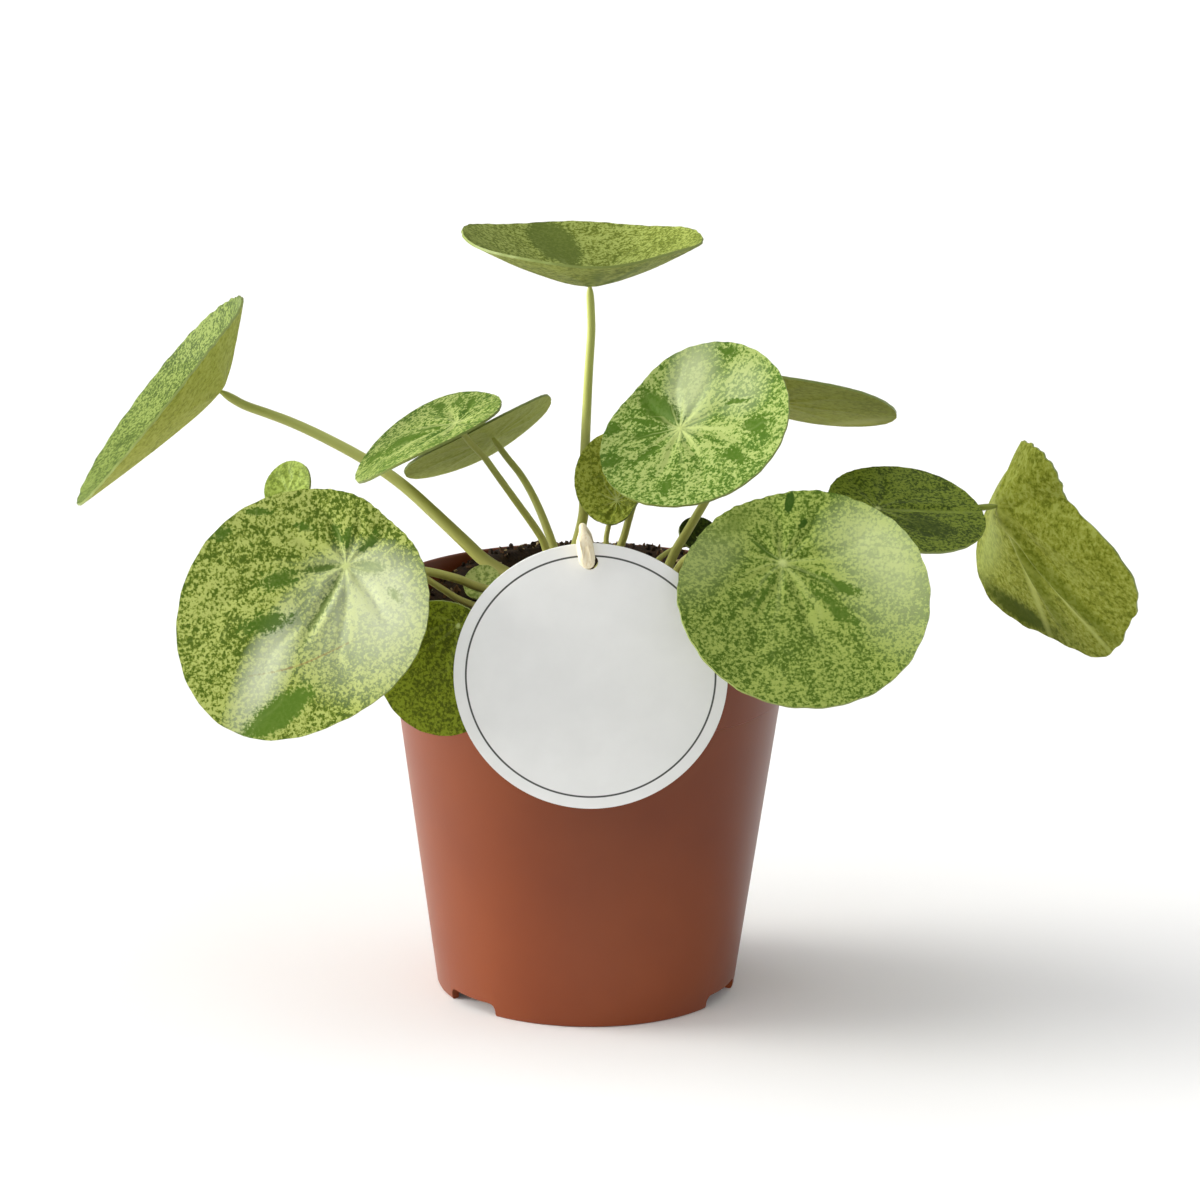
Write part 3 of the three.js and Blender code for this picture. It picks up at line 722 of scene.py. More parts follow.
def with_detail(points, seed, valley, wave, creases, trims, bite):
    """Adds vein valleys, swellings between them, slow waves, creases and a scalloped margin."""
    for bearing, width, share_in in trims:
        off = np.angle(np.exp(1j * (angles - math.radians(bearing)))) / math.radians(width)
        pull_in = 1 - share_in * np.exp(-off ** 2) * shares
        points = points[0, 0] + (points - points[0, 0]) * pull_in[..., None]
    normal = face_directions(points)
    radius = np.linalg.norm(points - points[0, 0], axis=2)
    pull = 0.12 * np.sin(3 * shares * math.pi + seed)
    phase = ((angles + pull * shares) * VEIN_VALLEYS / (2 * math.pi)) % 1
    aside = np.minimum(phase, 1 - phase) * 2 * math.pi / VEIN_VALLEYS * radius
    furrows = np.exp(-(aside / VALLEY_HALF_WIDTH) ** 2)
    depth = valley * furrows * np.minimum(shares * 6, 1) * (1 - shares ** 3)
    swell = 0.6 * valley * np.sin(math.pi * phase) ** 2 * np.sin(math.pi * shares)
    slow = wave * shares ** 2 * (np.sin(3 * angles + seed) + 0.6 * np.sin(5 * angles + 2 * seed))
    lift = swell - depth + slow
    for bearing, reach, deep, width in creases:
        off = angles - math.radians(bearing)
        across = radius * np.sin(off) / (width * MM)
        along = np.where(np.cos(off) > 0, shares * np.cos(off), 0)
        length = np.clip(along * 8, 0, 1) * np.clip((reach - along) / (0.4 * reach), 0, 1)
        furrow = np.exp(-across ** 2) - 0.5 * np.exp(-(np.abs(across) - 2.2) ** 2)
        lift = lift - deep * MM * length * furrow
    outward = np.gradient(points, axis=0)
    outward /= np.linalg.norm(outward, axis=2, keepdims=True) + 1e-9
    near_edge = np.clip((shares - (1 - MARGIN_SHARE)) / MARGIN_SHARE, 0, 1) ** 2
    teeth = 0.6 * np.sin(40 * angles + seed) + 0.5 * np.sin(23 * angles + 3 * seed)
    reach_out = 0.0045 * bite * radius[-1].mean() * near_edge * teeth
    print("highest lift in mm:", round(float(lift.max() / MM), 2))
    return points + normal * lift[..., None] + outward * reach_out[..., None]


# %% [markdown]
# The table below is what is read off the plant. Each blade has its three greens above and
# below, from light to dark, how strongly streaks and pale veins burst from its navel, and
# in millimetres how deep its vein valleys and slow waves are. Old leaves are mottled and
# quilted, young ones plain and flat. A few blades have creases: bearing, reach, depth, width.

# %% Look of each blade
BLADES = {
    "01": ("#9ca956 #7d8935 #5c6a1c", "#98a050 #848c3c #626c28", 0.3, 0.3, 0.25, 0.2),
    "02": ("#7e8e48 #5c6e2c #3e501a", "#b2bc56 #a6b048 #8e9a3a", 0.3, 0.3, 0.25, 0.2),
    "03": ("#adb864 #7e8e38 #4a6016", "#8c9444 #7c8438 #68702a", 0.7, 0.4, 0.35, 0.2),
    "04": ("#8c9f44 #7c8e34 #637626", "#96a450 #8a9846 #78863a", 0.2, 0.2, 0.2, 0.1),
    "05": ("#a2b066 #6e8632 #446418", "#969c50 #868c42 #747a34", 1.0, 0.8, 0.3, 0.2),
    # the underside greens of blade 06 are raised above the leaf's own olive, as painted light
    # shining through the thin leaf
    "06": ("#a0ae58 #8a9848 #74843a", "#b6c25c #aeba52 #a2ae48", 0.2, 0.2, 0.2, 0.2),
    "07": ("#a4b46a #769040 #4a6a22", "#8c9448 #7c8438 #6a722c", 1.0, 0.8, 0.3, 0.2),
    "08": ("#aab44c #8e9a30 #6c7a1e", "#7c8438 #6c7430 #5c6424", 0.6, 0.8, 0.3, 0.1),
    "09": ("#9cab50 #86953c #6c7c2e", "#989e3c #8e9634 #80882a", 0.3, 0.2, 0.2, 0.2),
    "10": ("#9cac54 #788e3a #4c6618", "#8c9448 #7c8438 #6a722c", 0.7, 0.3, 0.35, 0.2),
    "11": ("#7a8a2e #5e7020 #3a4a08", "#6c7430 #606828 #525a1e", 0.4, 0.2, 0.3, 0.2),
    "12": ("#9cab50 #86953c #6c7c2e", "#98a14a #868e32 #646e1c", 0.3, 0.2, 0.3, 0.3),
    "13": ("#74821c #5e6a0e #454f02", "#6c7430 #606828 #525a1e", 0.2, 0.1, 0.2, 0.1),
    # blade 14 sits deep in the shade of the others; its near-black greens are painted shade
    "14": ("#36440a #2c3806 #222c04", "#48541c #3e4a14 #343e0e", 0.1, 0.0, 0.1, 0.1),
    "15": ("#9ca662 #8c9a56 #6a7c3a", "#7c8838 #6e7a30 #606c26", 0.1, 0.1, 0.1, 0.1),
}
CREASES = {
    "03": [(10, 0.5, 0.7, 1.3), (-50, 0.35, 0.5, 1.1)],
    "10": [(40, 0.3, 0.4, 1.0), (-30, 0.3, 0.4, 1.0), (-150, 0.4, 0.4, 1.2), (160, 0.3, 0.3, 1.0)],
    "11": [(10, 0.95, 0.6, 1.3)],
    "12": [(-4, 1.0, 1.4, 2.0), (18, 0.9, 1.2, 2.0)],
}

# bearing, width and share by which a margin is drawn in, and how deep its scallops are
TRIMS = {"07": [(155, 25, 0.1)], "08": [(-108, 36, 0.35), (-155, 25, 0.1)]}
BITES = {"02": 2, "12": 3, "10": 1.4}
print("blades in the table:", len(BLADES))

# %% Marks of each blade
# each group: colour, opacity, softness and fray of its edge, and its ellipses
# each ellipse: share of the way out, bearing, half length, half width and turn, as read
# Pale coats over the flecks: the leaf's pale variegation, together with a painted sheen where the
# waxy skin mirrors the soft light.
PALE_AND_SHEEN_COATS = {
    "01": [("#9fae5c", 0.6, 0.6, 0.15, [(0.6, 60, 0.5, 0.3, 0)])],
    "03": [("#e6edcc", 0.6, 0.6, 0.15, [(0.5, 90, 0.5, 0.45, 0), (0.65, 0, 0.3, 0.1, 15)])],
    "07": [
        ("#cfd9ac", 0.6, 0.5, 0.15, [(0.55, 105, 0.5, 0.25, 0)]),
        ("#cfd9ac", 0.3, 0.5, 0.15, [(0.65, 50, 0.25, 0.2, 50)]),
    ],
    "10": [
        ("#ccd6a2", 0.5, 0.6, 0.15, [(0.75, 70, 0.5, 0.3, 90)]),
        ("#a3b072", 0.4, 0.5, 0.15, [(0.8, -115, 0.4, 0.3, 80)]),
    ],
}
UPPER_MARKS_AND_CREASE_SHADE = {
    "01": [("#5c6c24", 0.85, 0.12, 0.3, [(0.7, -65, 0.35, 0.2, 0)])],
    "03": [
        ("#47661a", 0.9, 0.25, 0.8, [
            (0.4, -125, 0.15, 0.05, 0), (0.4, -145, 0.15, 0.05, 0), (0.55, 170, 0.2, 0.08, 0),
            (0.4, -45, 0.12, 0.06, 0), (0.5, -20, 0.12, 0.05, -20), (0.9, -85, 0.08, 0.05, 40),
            (0.95, -70, 0.06, 0.05, 0), (0.55, -95, 0.08, 0.04, 10),
        ]),
        ("#557422", 0.95, 0.15, 0.4, [(0.85, 15, 0.2, 0.1, -40)]),
        ("#8a9c66", 0.6, 0.4, 0.8, [(0.3, 120, 0.2, 0.08, 0), (0.6, 95, 0.08, 0.05, 0)]),
        # thin dark lines along the two creases: painted shade in the furrows
        ("#4c6620", 0.9, 0.4, 0.8, [(0.25, 10, 0.2, 0.02, 0), (0.15, -50, 0.13, 0.02, 0)]),
        ("#9a7c48", 0.6, 0.5, 0.8, [(0.55, 20, 0.2, 0.006, -70)]),
    ],
    "05": [
        ("#4c6a14", 0.9, 0.2, 0.8, [
            (0.75, -75, 0.18, 0.09, 0), (0.7, -95, 0.18, 0.08, 0), (0.65, -115, 0.2, 0.1, 20),
            (0.5, -10, 0.2, 0.12, 0), (0.8, -10, 0.12, 0.08, 30), (0.3, -25, 0.15, 0.06, 0),
            (0.8, 75, 0.2, 0.06, 80),
        ]),
    ],
    "07": [
        ("#4a6a1c", 0.9, 0.15, 0.4, [(0.5, 155, 0.45, 0.18, 0)]),
        ("#4a6a1c", 0.92, 0.2, 0.8, [
            (0.9, -165, 0.15, 0.12, 0), (0.45, -150, 0.25, 0.05, 0),
            (0.5, -178, 0.3, 0.05, 0), (0.5, -115, 0.2, 0.07, 0), (0.9, -130, 0.15, 0.1, 0),
            (0.75, -70, 0.12, 0.07, 0), (0.7, 12, 0.15, 0.1, 0), (0.7, -15, 0.15, 0.06, 0),
            (0.9, 80, 0.12, 0.05, 80), (0.55, 40, 0.12, 0.03, -30),
        ]),
    ],
    "10": [
        ("#6a8030", 0.6, 0.5, 0.8, [(0.8, -155, 0.3, 0.15, -80)]),
        ("#2e4e04", 0.95, 0.12, 0.2, [(0.85, 150, 0.15, 0.06, 0), (0.55, 130, 0.07, 0.04, 0)]),
        ("#4c6a18", 0.9, 0.25, 0.8, [
            (0.4, 40, 0.15, 0.04, 0), (0.45, 20, 0.2, 0.05, 0),
            (0.3, -50, 0.2, 0.02, 0), (0.35, -150, 0.2, 0.03, 0),
        ]),
    ],
    "11": [
        ("#33430a", 0.7, 0.4, 0.8, [(0.5, -25, 0.35, 0.2, 0)]),
        ("#8c9c44", 0.6, 0.4, 0.8, [(0.55, 10, 0.4, 0.02, 0)]),
    ],
}
UNDER_MARKS_LIGHT_AND_SHADE = {
    "01": [("#5d6c26", 0.7, 0.4, 0.5, [(0.5, 95, 0.4, 0.06, 0), (0.6, 120, 0.35, 0.05, 0)])],
    # the paler strip along the curved lower edge is painted light, caught from below
    "09": [("#aeb264", 0.6, 0.6, 0.2, [(0.85, 25, 0.4, 0.08, 90)])],
    "12": [
        # a dark band across a fold near the margin, and dark lines along the two creases: painted
        # shade in the furrows
        ("#3e4c08", 0.9, 0.4, 0.4, [(0.9, 42, 0.32, 0.09, 90)]),
        ("#5e6c1c", 0.6, 0.6, 0.2, [(0.65, -5, 0.4, 0.04, 0), (0.5, 16, 0.4, 0.05, 0)]),
        ("#b4bc68", 0.8, 0.5, 0.1, [(0.6, 1, 0.45, 0.02, 0), (0.55, 28, 0.4, 0.03, 0)]),
        # a pale patch on the side that faces away from the light: painted light
        ("#9eac64", 0.5, 0.5, 0.2, [(0.65, 68, 0.35, 0.12, 0)]),
    ],
}

print("blades with marks:", sorted(UPPER_MARKS_AND_CREASE_SHADE.keys() | UNDER_MARKS_LIGHT_AND_SHADE.keys()))

# %% Make the blades
# The cut margin is bare leaf flesh between the skins, and draws a thin pale line round a blade.
BLADE_THICKNESS = 0.7 * MM
leaf_edge, tree, shader = finish_named("leaf margin, where the skins meet", 0.5)
shader.inputs["Base Color"].default_value = linear("#7c8a40")

navels = {}
for number, (upper, under, rays, burst, valley, wave) in BLADES.items():
    pale_and_sheen = PALE_AND_SHEEN_COATS.get(number, [])
    marks = UPPER_MARKS_AND_CREASE_SHADE.get(number, [])
    skins = [
        upper_skin("leaf skin, waxy, " + number, upper, rays, burst, pale_and_sheen, marks),
        lower_skin("leaf underside, olive, " + number, under, UNDER_MARKS_LIGHT_AND_SHADE.get(number, [])),
        leaf_edge,
    ]
    smooth_grid = refined(blade_grid(number))
    fine = with_detail(
        smooth_grid, float(number), valley * MM, wave * MM,
        CREASES.get(number, []), TRIMS.get(number, []), BITES.get(number, 1),
    )
    navels[number] = fine[0, 0]
    blade = sheet_from(fine)
    for material in skins:
        blade.data.materials.append(material)
    put_modifier(
        blade, "SOLIDIFY", thickness=BLADE_THICKNESS, offset=-1,
        material_offset=1, material_offset_rim=2,
    )
    smooth_by_angle(blade, 50)
    put_in_place(blade, "leaf_blade_" + number, "blade", [], "blade_" + number)
print("blades made:", len(navels))

# %% [markdown]
# ## Stalks
#
# Leaf stalks are fleshy, satin and nearly round, yellow-green above and beige low down. The
# satin gives each one a soft light line along its length. Each one is a curve: its points
# are the ring centres of the plain solid, its thickness follows their radii, and it flares
# where it meets the blade and the stem. The fine ribs of the real skin are narrower than a
# pixel, so they are drawn at 0.9 mm.

# %% Stalk flesh
def stalk_finish(name, *greens):
    """Fleshy stalk skin, from a beige foot over three greens towards the blade."""
    material, tree, shader = finish_named(name, 0.42, 1.42, Specular_IOR_Level=0.3)
    place = node(tree, "TexCoord").outputs["Object"]
    height = node(tree, "SeparateXYZ", {0: place}).outputs["Z"]
    size = {"Vector": place, "Scale": 1 / (6 * MM), "Detail": 3}
    patches = node(tree, "TexNoise", size).outputs["Fac"]
    wavy = {0: patches, 1: 14 * MM, 2: height}
    shifted = node(tree, "Math", wavy, operation="MULTIPLY_ADD").outputs[0]
    way_up = node(tree, "MapRange", {0: shifted, 1: 118 * MM, 2: 160 * MM}).outputs[0]
    stops = list(zip((0.0, 0.35, 0.75, 1.0), greens))
    flush = node(tree, "ValToRGB", {0: way_up}, stops)
    ribs = node(tree, "TexNoise", {"Vector": place, "Scale": 1 / (0.9 * MM), "Detail": 2})
    dress(tree, shader, flush.outputs[0], ribs.outputs["Fac"], 0.12, 0.1 * MM)
    return material


stalk_flesh = stalk_finish(
    "leaf stalk, fleshy and satin", "#bdb976", "#b9ba66", "#b8bc64", "#b4ba66",
)
# Stalks 11 and 12 stand in the plant's shade; their darker olive copy of the stalk flesh is painted
# shade.
stalk_shade = stalk_finish("leaf stalk, olive in painted shade", "#8a9440", "#7e8a34", "#76822e", "#6e7a2a")
SHADED_STALKS = ("11", "12")


# %% Stalks
def smooth_line(values, steps):
    """A finer line through a line of points or numbers."""
    padded = np.concatenate([2 * values[:1] - values[1:2], values, 2 * values[-1:] - values[-2:-1]])
    fine = [
        spline(*padded[i:i + 4], j / steps)
        for i in range(len(values) - 1) for j in range(steps)
    ]
    return np.array(fine + [values[-1]])


def rod(name, line, radii, closed=False):
    """A round rod along a line of points, as a mesh."""
    curve = bpy.data.curves.new(name, "CURVE")
    curve.dimensions = "3D"
    curve.bevel_depth = 1
    curve.bevel_resolution = 5
    curve.use_fill_caps = not closed
    spine = curve.splines.new("POLY")
    spine.use_cyclic_u = closed
    spine.points.add(len(line) - 1)
    for point, spot, radius in zip(spine.points, line, radii):
        point.co = (*spot, 1)
        point.radius = radius
    made = bpy.data.objects.new(name, curve)
    bpy.context.collection.objects.link(made)
    use_alone(made)
    bpy.ops.object.convert(target="MESH")
    return bpy.context.object


def stalk_line(number):
    """The centre line and radii of a plain stalk, from the stem to the blade."""
    points, neighbours = merged_copy("stalk_" + number)
    poles = sorted(range(len(points)), key=lambda i: -len(neighbours[i]))[:2]
    base = max(poles, key=lambda i: np.linalg.norm(points[i] - navels[number]))
    rings = rings_from(base, neighbours)
    centres = np.array([points[ring].mean(axis=0) for ring in rings])
    radii = [np.linalg.norm(points[ring] - c, axis=1).mean() for ring, c in zip(rings, centres)]
    return centres, np.array(radii)


STALK_STEPS = 5
INTO_STEM = 0.6 * MM
INTO_BLADE = 0.55 * MM
STEM_FLARE, STEM_FLARE_LENGTH = 0.3, 2.5 * MM
BLADE_FLARE, BLADE_FLARE_LENGTH = 0.45, 1.6 * MM
TIP_ROUNDING = (0.95, 0.75, 0.3)
for number in BLADES:
    centres, radii = stalk_line(number)
    line = smooth_line(centres, STALK_STEPS)
    thick = smooth_line(radii, STALK_STEPS)
    into_stem = line[0] - line[1]
    line[0] += into_stem / np.linalg.norm(into_stem) * INTO_STEM
    into_blade = line[-1] - line[-2]
    line[-1] += into_blade / np.linalg.norm(into_blade) * INTO_BLADE
    from_base = np.linalg.norm(line - line[0], axis=1)
    from_tip = np.linalg.norm(line - line[-1], axis=1)
    thick = thick * (1 + STEM_FLARE * np.exp(-(from_base / STEM_FLARE_LENGTH) ** 2))
    thick = thick * (1 + BLADE_FLARE * np.exp(-(from_tip / BLADE_FLARE_LENGTH) ** 2))
    thick[-3:] *= TIP_ROUNDING
    stalk = rod("leaf_stalk_" + number, line, thick)
    smooth_by_angle(stalk, 60)
    flesh = stalk_shade if number in SHADED_STALKS else stalk_flesh
    put_in_place(stalk, "leaf_stalk_" + number, "stalk", [flesh], "stalk_" + number)
print("stalks made:", len(BLADES))

# %% [markdown]
# ## Stems
#
# The stems are short and woody, ringed by the scars of fallen leaves. They are turned like
# the pot, at the size and place that the frame gives, and roughened a little.

# %% Stem bark
# Corky young bark scatters light, so it looks dull, and its greens and browns run together.
bark, tree, shader = finish_named("young bark, corky and matte", 0.8, 1.4)
place = node(tree, "TexCoord").outputs["Object"]
cork = node(tree, "TexNoise", {"Vector": place, "Scale": 1 / (2.5 * MM), "Detail": 5})
grain = cork.outputs["Fac"]
stops = [(0.3, "#4d3d24"), (0.55, "#7a6a42"), (0.75, "#8f8a52")]
browns = node(tree, "ValToRGB", {0: grain}, stops)
dress(tree, shader, browns.outputs[0], grain, 0.6, 0.4 * MM)

# %% Stems
SCAR_SPACING = 3.2 * MM
STEM_SIDES = 40
BARK_ROUGHNESS = 0.04
for name in ("main_stem", "offset_stem"):
    low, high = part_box(name)
    middle = (low + high) / 2
    radius = (high.x - low.x) / 2
    profile = [(radius * 0.9, low.z), (radius, low.z + 1 * MM)]
    z = low.z + 4 * MM
    while z < high.z - 5 * MM:
        profile += [(radius, z), (radius * 0.93, z + 0.7 * MM), (radius * 0.95, z + 2.2 * MM)]
        z += SCAR_SPACING
    profile += [(radius * 0.92, high.z - 2 * MM), (radius * 0.8, high.z - 0.8 * MM)]
    profile += [(radius * 0.5, high.z)]
    stem = turned(profile, STEM_SIDES)
    for vertex in stem.data.vertices:
        rough = noise.noise(vertex.co / (3 * MM))
        vertex.co.x *= 1 + BARK_ROUGHNESS * rough
        vertex.co.y *= 1 + BARK_ROUGHNESS * rough
    stem.location = (middle.x, middle.y, 0)
    smooth_by_angle(stem, 60)
    put_in_place(stem, "woody_" + name, "stem", [bark], name)

# %% [markdown]
# ## Soil
#
# Potting soil is peat and bark with pale grit. Its surface is the master disc again, dropped
# onto the plain solid's top and made lumpy, and 900 crumbs lie on it: dark peat, reddish
# bark and pale grit. Each crumb is a small icosphere, squashed and turned.


# %% Soil materials
# Damp crumbs have no sheen. The eye tells them apart by colour, and their depth by shadows.
def crumb_finish(name, low_colour, high_colour, grain_mm, roughness):
    """A crumbly material: two colours in grains, and a rough bump."""
    material, tree, shader = finish_named(name, roughness, 1.4)
    place = node(tree, "TexCoord").outputs["Object"]
    size = {"Vector": place, "Scale": 1 / (grain_mm * MM), "Detail": 6, "Roughness": 0.7}
    grain = node(tree, "TexNoise", size).outputs["Fac"]
    tones = node(tree, "ValToRGB", {0: grain}, [(0.35, low_colour), (0.7, high_colour)])
    dress(tree, shader, tones.outputs[0], grain, 0.9, 0.6 * MM)
    return material


peat = crumb_finish("peat, dark and fibrous", "#1a120a", "#46311f", 1.5, 0.95)
bark_chip = crumb_finish("bark chips, reddish brown", "#4a3019", "#7e5a3a", 2.0, 0.85)
grit = crumb_finish("pale grit and fibres", "#9a8054", "#d2bd92", 1.0, 0.8)

# %% Soil surface
soil_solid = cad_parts["soil"]
soil_low, soil_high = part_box("soil")
soil_radius = (soil_high.x - soil_low.x) / 2
bpy.context.view_layer.update()

LOWEST_SOIL = 100 * MM
USUAL_SOIL = 106 * MM
BANK_FOOT = 105.5 * MM
BANK_HEIGHT = 13.2 * MM
BANK_HALF_ANGLE = 54
BANK_START, BANK_RUN = 37 * MM, 12 * MM
EDGE_START, EDGE_RUN, EDGE_DROP = 52 * MM, 6 * MM, 2 * MM
SOIL_SHEET = 1.2 * MM
print("soil radius in mm:", round(soil_radius / MM, 2))


def soil_top(x, y):
    """The plain soil's height, found by a ray from above, with loose soil banked on the wall."""
    reach = math.hypot(x, y)
    inner = min(1, (soil_radius - 0.3 * MM) / max(reach, MM))
    start = Vector((x * inner, y * inner, 1))
    hit, spot = soil_solid.ray_cast(start, Vector((0, 0, -1)))[:2]
    level = spot.z if hit and spot.z > LOWEST_SOIL else USUAL_SOIL
    off_back = math.degrees(abs(math.atan2(x, y) + 0.03)) / BANK_HALF_ANGLE
    near_wall = min(1, max(0, (reach - BANK_START) / BANK_RUN))
    bank = BANK_HEIGHT * math.exp(-off_back ** 4) * near_wall ** 2 * (3 - 2 * near_wall)
    sunk = EDGE_DROP * max(0, (reach - EDGE_START) / EDGE_RUN) ** 2
    return max(level, BANK_FOOT + bank) - sunk


def lumps(x, y):
    """Small hollows and humps of loose soil."""
    spot = Vector((x, y, 0))
    return 0.7 * MM * noise.noise(spot / (5 * MM)) + 0.45 * MM * noise.noise(spot / (1.8 * MM))


table = np.zeros((SHEET_RINGS + 1, SHEET_SPOKES, 3))
for i in range(SHEET_RINGS + 1):
    for j in range(SHEET_SPOKES):
        edge = Vector((math.cos(angles[0, j]), math.sin(angles[0, j]))) * soil_radius
        reach = wall_radius(soil_top(*edge)) - inside - 0.4 * MM
        x = edge.x / soil_radius * reach * i / SHEET_RINGS
        y = edge.y / soil_radius * reach * i / SHEET_RINGS
        table[i, j] = (x, y, soil_top(x, y) + lumps(x, y))
soil = sheet_from(table)
put_modifier(soil, "SOLIDIFY", thickness=SOIL_SHEET, offset=-1)

# %% Three crumbs to copy
CRUMB_FINISHES = (peat, bark_chip, grit)
crumb_kinds = []
for kind, (stretch, flat_part) in enumerate([(1.2, 0.7), (1.7, 0.5), (1.3, 0.6)]):
    bpy.ops.mesh.primitive_ico_sphere_add(subdivisions=1, radius=1)
    crumb = bpy.context.object
    bpy.ops.object.mode_set(mode="EDIT")
    bpy.ops.transform.resize(value=(stretch, 0.9, flat_part))
    bpy.ops.transform.vertex_random(offset=0.25, seed=kind)
    bpy.ops.object.mode_set(mode="OBJECT")
    for material in CRUMB_FINISHES:
        crumb.data.materials.append(material)
    for polygon in crumb.data.polygons:
        polygon.material_index = kind
    crumb_kinds.append(crumb)
print("faces on a crumb:", len(crumb_kinds[0].data.polygons))

# %% Scatter the crumbs
for material in CRUMB_FINISHES:
    soil.data.materials.append(material)
CRUMBS = 900
LAST_LOOSE_CRUMB = 600
BACK_REACHES_MM = (43, 56)
BACK_BEARINGS = (35, 155)
KIND_WEIGHTS = (5, 4, 3)
spots = []
for i in range(CRUMBS):
    at_back = i > LAST_LOOSE_CRUMB
    if at_back:
        reach = random.uniform(*BACK_REACHES_MM) * MM
        turn = math.radians(random.uniform(*BACK_BEARINGS))
    else:
        reach = (soil_radius - 2 * MM) * math.sqrt(random.random())
        turn = random.uniform(0, 2 * math.pi)
    x, y = reach * math.cos(turn), reach * math.sin(turn)
    kind = random.choices((0, 1, 2), weights=KIND_WEIGHTS)[0]
    size = random.uniform(0.4, 0.9 if at_back else 1.4) * MM * (0.7 if kind == 2 else 1)
    spots.append((kind, size, (x, y, soil_top(x, y) + lumps(x, y) + size * 0.25)))
crumbs = []
for kind, size, spot in spots:
    crumb = crumb_kinds[kind].copy()
    crumb.data = crumb_kinds[kind].data.copy()
    crumb.location = spot
    crumb.rotation_euler = [random.uniform(0, math.pi) for _ in range(3)]
    crumb.scale = (size, size, size)
    bpy.context.collection.objects.link(crumb)
    crumbs.append(crumb)
for crumb in crumb_kinds:
    bpy.data.objects.remove(crumb)
bpy.ops.object.select_all(action="DESELECT")
for piece in crumbs + [soil]:
    piece.select_set(True)
bpy.context.view_layer.objects.active = soil
bpy.ops.object.join()
smooth_by_angle(soil, 40)
put_in_place(soil, "potting_soil", "soil", [], "soil")

# %% [markdown]
# ## Card
#
# The card is coated board, cut round, with a punched hole and a thin printed ring. The
# coating is smooth, so the eye sees an even white that only shades off softly. The card
# hangs by its own weight and its sides curl back a little. The words of the real card are
# left off, and its middle stays bare. The ring is drawn by distance from the card's centre.

# %% Card board
card_low, card_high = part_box("name_card")
card_middle = (card_low + card_high) / 2
CARD_RADIUS = (card_high.x - card_low.x) / 2
RING_RADIUS = CARD_RADIUS - 3.4 * MM
RING_WIDTH = 0.5 * MM
card_board, tree, shader = finish_named("coated board, satin white", 0.45, 1.5)
place = node(tree, "TexCoord").outputs["Object"]
to_middle = {"Vector": place, "Location": (-card_middle.x, 0, -card_middle.z), "Scale": (1, 0, 1)}
from_middle = node(tree, "Mapping", to_middle).outputs[0]
distance = node(tree, "VectorMath", {0: from_middle}, operation="LENGTH").outputs["Value"]
off_ring = node(tree, "Math", {0: distance, 1: RING_RADIUS}, operation="SUBTRACT").outputs[0]
off_line = node(tree, "Math", {0: off_ring}, operation="ABSOLUTE").outputs[0]
line = node(tree, "MapRange", {0: off_line, 1: 0.62 * RING_WIDTH, 2: 0.42 * RING_WIDTH}).outputs[0]
fibre = node(tree, "TexNoise", {"Vector": place, "Scale": 1 / (8 * MM), "Detail": 4}).outputs["Fac"]
board = node(tree, "ValToRGB", {0: fibre}, [(0.3, "#e7e8e6"), (0.7, "#ebecea")]).outputs[0]
printed = node(tree, "Mix", {0: line, 6: board, 7: "#3a3d38"}, data_type="RGBA").outputs[2]
dress(tree, shader, printed, fibre, 0.05, 0.1 * MM)

# %% Card
CARD_THICKNESS = 0.8 * MM
CARD_FRONT = card_low.y
CURL_RADIUS = 420 * MM
card_x = CARD_RADIUS * shares * np.cos(angles)
card_z = CARD_RADIUS * shares * np.sin(angles)
curl = CARD_FRONT + card_x ** 2 / (2 * CURL_RADIUS)
table = np.stack([card_middle.x + card_x, curl, card_middle.z + card_z], axis=2)
card = sheet_from(table)
put_modifier(card, "SOLIDIFY", thickness=CARD_THICKNESS, offset=-1)
HOLE_RADIUS = 2.2 * MM
hole_place = (card_middle.x - 0.5 * MM, card_middle.y, card_middle.z + 32.6 * MM)
bpy.ops.mesh.primitive_cylinder_add(
    vertices=HOLE_SIDES, radius=HOLE_RADIUS, depth=12 * MM, location=hole_place,
    rotation=(math.pi / 2, 0, 0),
)
cut_out(card, bpy.context.object)
smooth_by_angle(card, 40)
put_in_place(card, "round_card", "card", [card_board], "name_card")

# %% [markdown]
# ## Tie
#
# The card hangs on a strand of pale bast, soft and flat, folded double. Its fibres run along
# it and break its light into fine streaks. It comes out of the hole, swells over the card's
# edge and loops round the tallest stalk. It is a closed rod along the same route as the
# plain solid, pinched along its front into two strands. Single fibres are finer than a pixel,
# so they are drawn at half a millimetre.

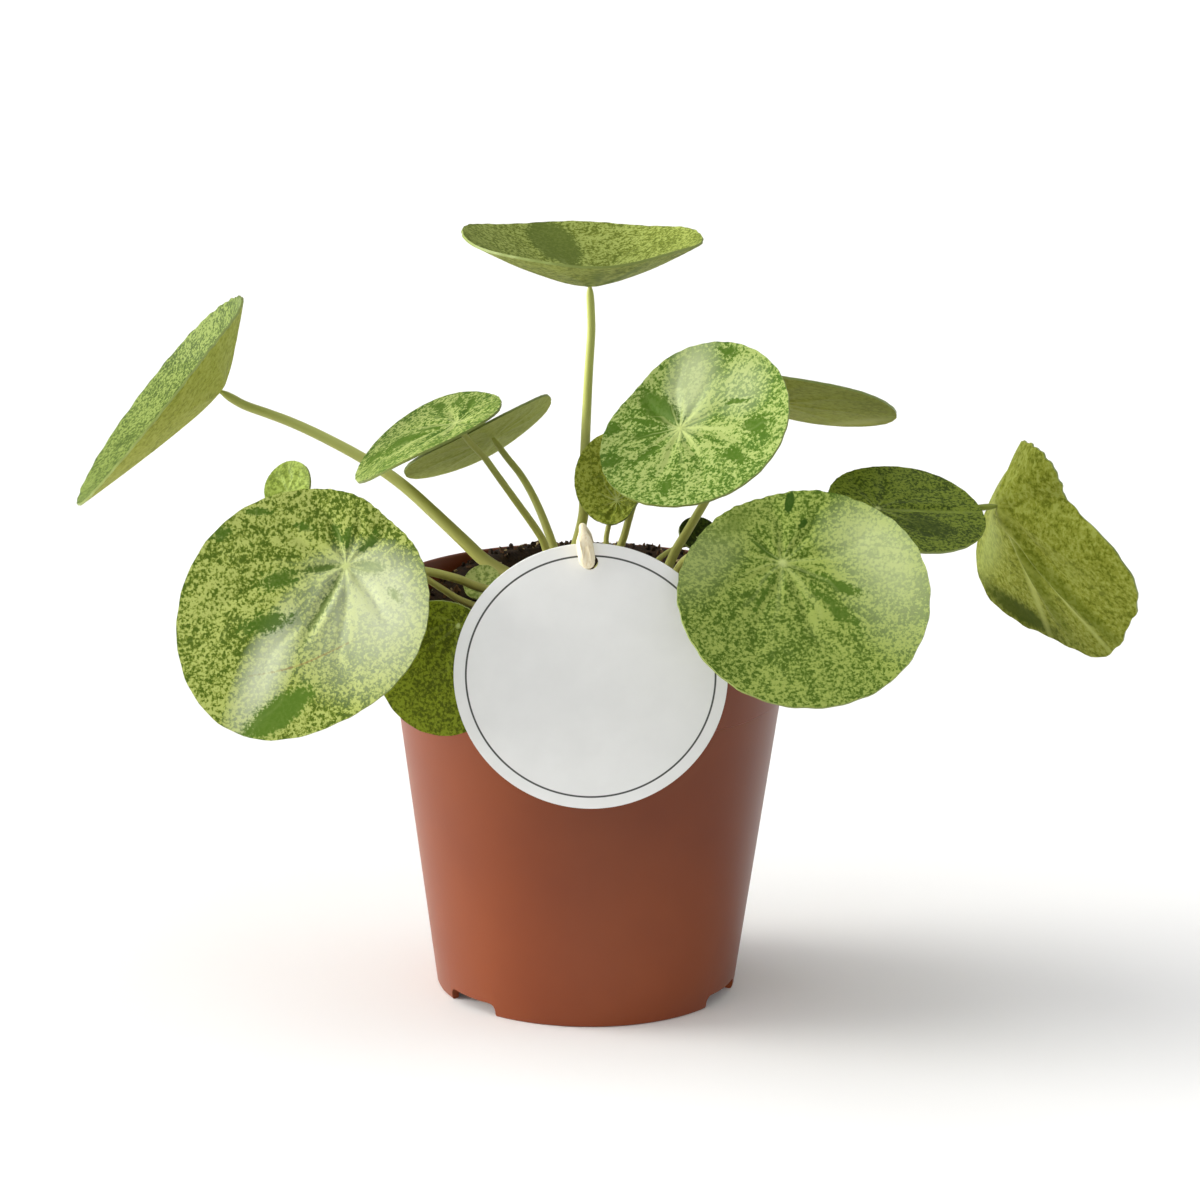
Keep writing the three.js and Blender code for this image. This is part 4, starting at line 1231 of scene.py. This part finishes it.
# %% Tie
TIE_ROUTE = [
    (0.3, -61.2, 141.1), (-0.6, -64.3, 142), (-1.1, -65.2, 145), (-1.8, -63.8, 148.6),
    (-2.1, -59.5, 150.4), (-1.8, -52, 148.4), (-0.4, -36, 142), (0.1, -18, 134.2),
    (-0.6, -6, 130), (-0.9, 1, 128.4), (-1.7, 5.9, 127.5), (-4.4, 7.7, 127.2),
    (-7.1, 6, 127.2), (-7.7, 1, 127.8), (-6.8, -6, 128.4), (-4.8, -18, 129.8),
    (-2.2, -36, 133), (0, -52, 138), (0.4, -58.4, 140.4),
]
route = np.array(TIE_ROUTE) * MM
count = len(route)
line = np.array([
    spline(route[i - 1], route[i], route[(i + 1) % count], route[(i + 2) % count], j / 8)
    for i in range(count) for j in range(8)
])
belly = np.array(TIE_ROUTE[2]) * MM
from_belly = np.linalg.norm(line - belly, axis=1)
STRAND_RADIUS = 1.0 * MM
BELLY_SWELL, BELLY_HALF_LENGTH = 1.35 * MM, 4.5 * MM
thick = STRAND_RADIUS + BELLY_SWELL * np.exp(-(from_belly / BELLY_HALF_LENGTH) ** 4)

bast, tree, shader = finish_named("bast strand, pale and fibrous", 0.75, 1.45)
place = node(tree, "TexCoord").outputs["Object"]
fibres = node(tree, "Mapping", {"Vector": place, "Scale": (1, 1, 0.12)}).outputs[0]
noises = node(tree, "TexNoise", {"Vector": fibres, "Scale": 1 / (0.5 * MM), "Detail": 4})
strands = noises.outputs["Fac"]
tones = node(tree, "ValToRGB", {0: strands}, [(0.3, "#dccaa0"), (0.6, "#efe5c8")])
dress(tree, shader, tones.outputs[0], strands, 0.6, 0.25 * MM)

PINCH_DEPTH, PINCH_WIDTH = 0.38, 0.28
tie = rod("card_strand", line, thick, closed=True)
for vertex in tie.data.vertices:
    nearest = np.linalg.norm(line - np.array(vertex.co), axis=1).argmin()
    aside = (vertex.co.x - line[nearest, 0]) / thick[nearest]
    ahead = max(0.0, (line[nearest, 1] - vertex.co.y) / thick[nearest])
    vertex.co.y += PINCH_DEPTH * thick[nearest] * ahead * math.exp(-(aside / PINCH_WIDTH) ** 2)
smooth_by_angle(tie, 50)
put_in_place(tie, "card_strand", "tie", [bast], "card_tie")

# %% [markdown]
# ## Clear away
#
# The master disc has served every sheet, so it is taken away.

# %% Clear away
bpy.data.objects.remove(master)
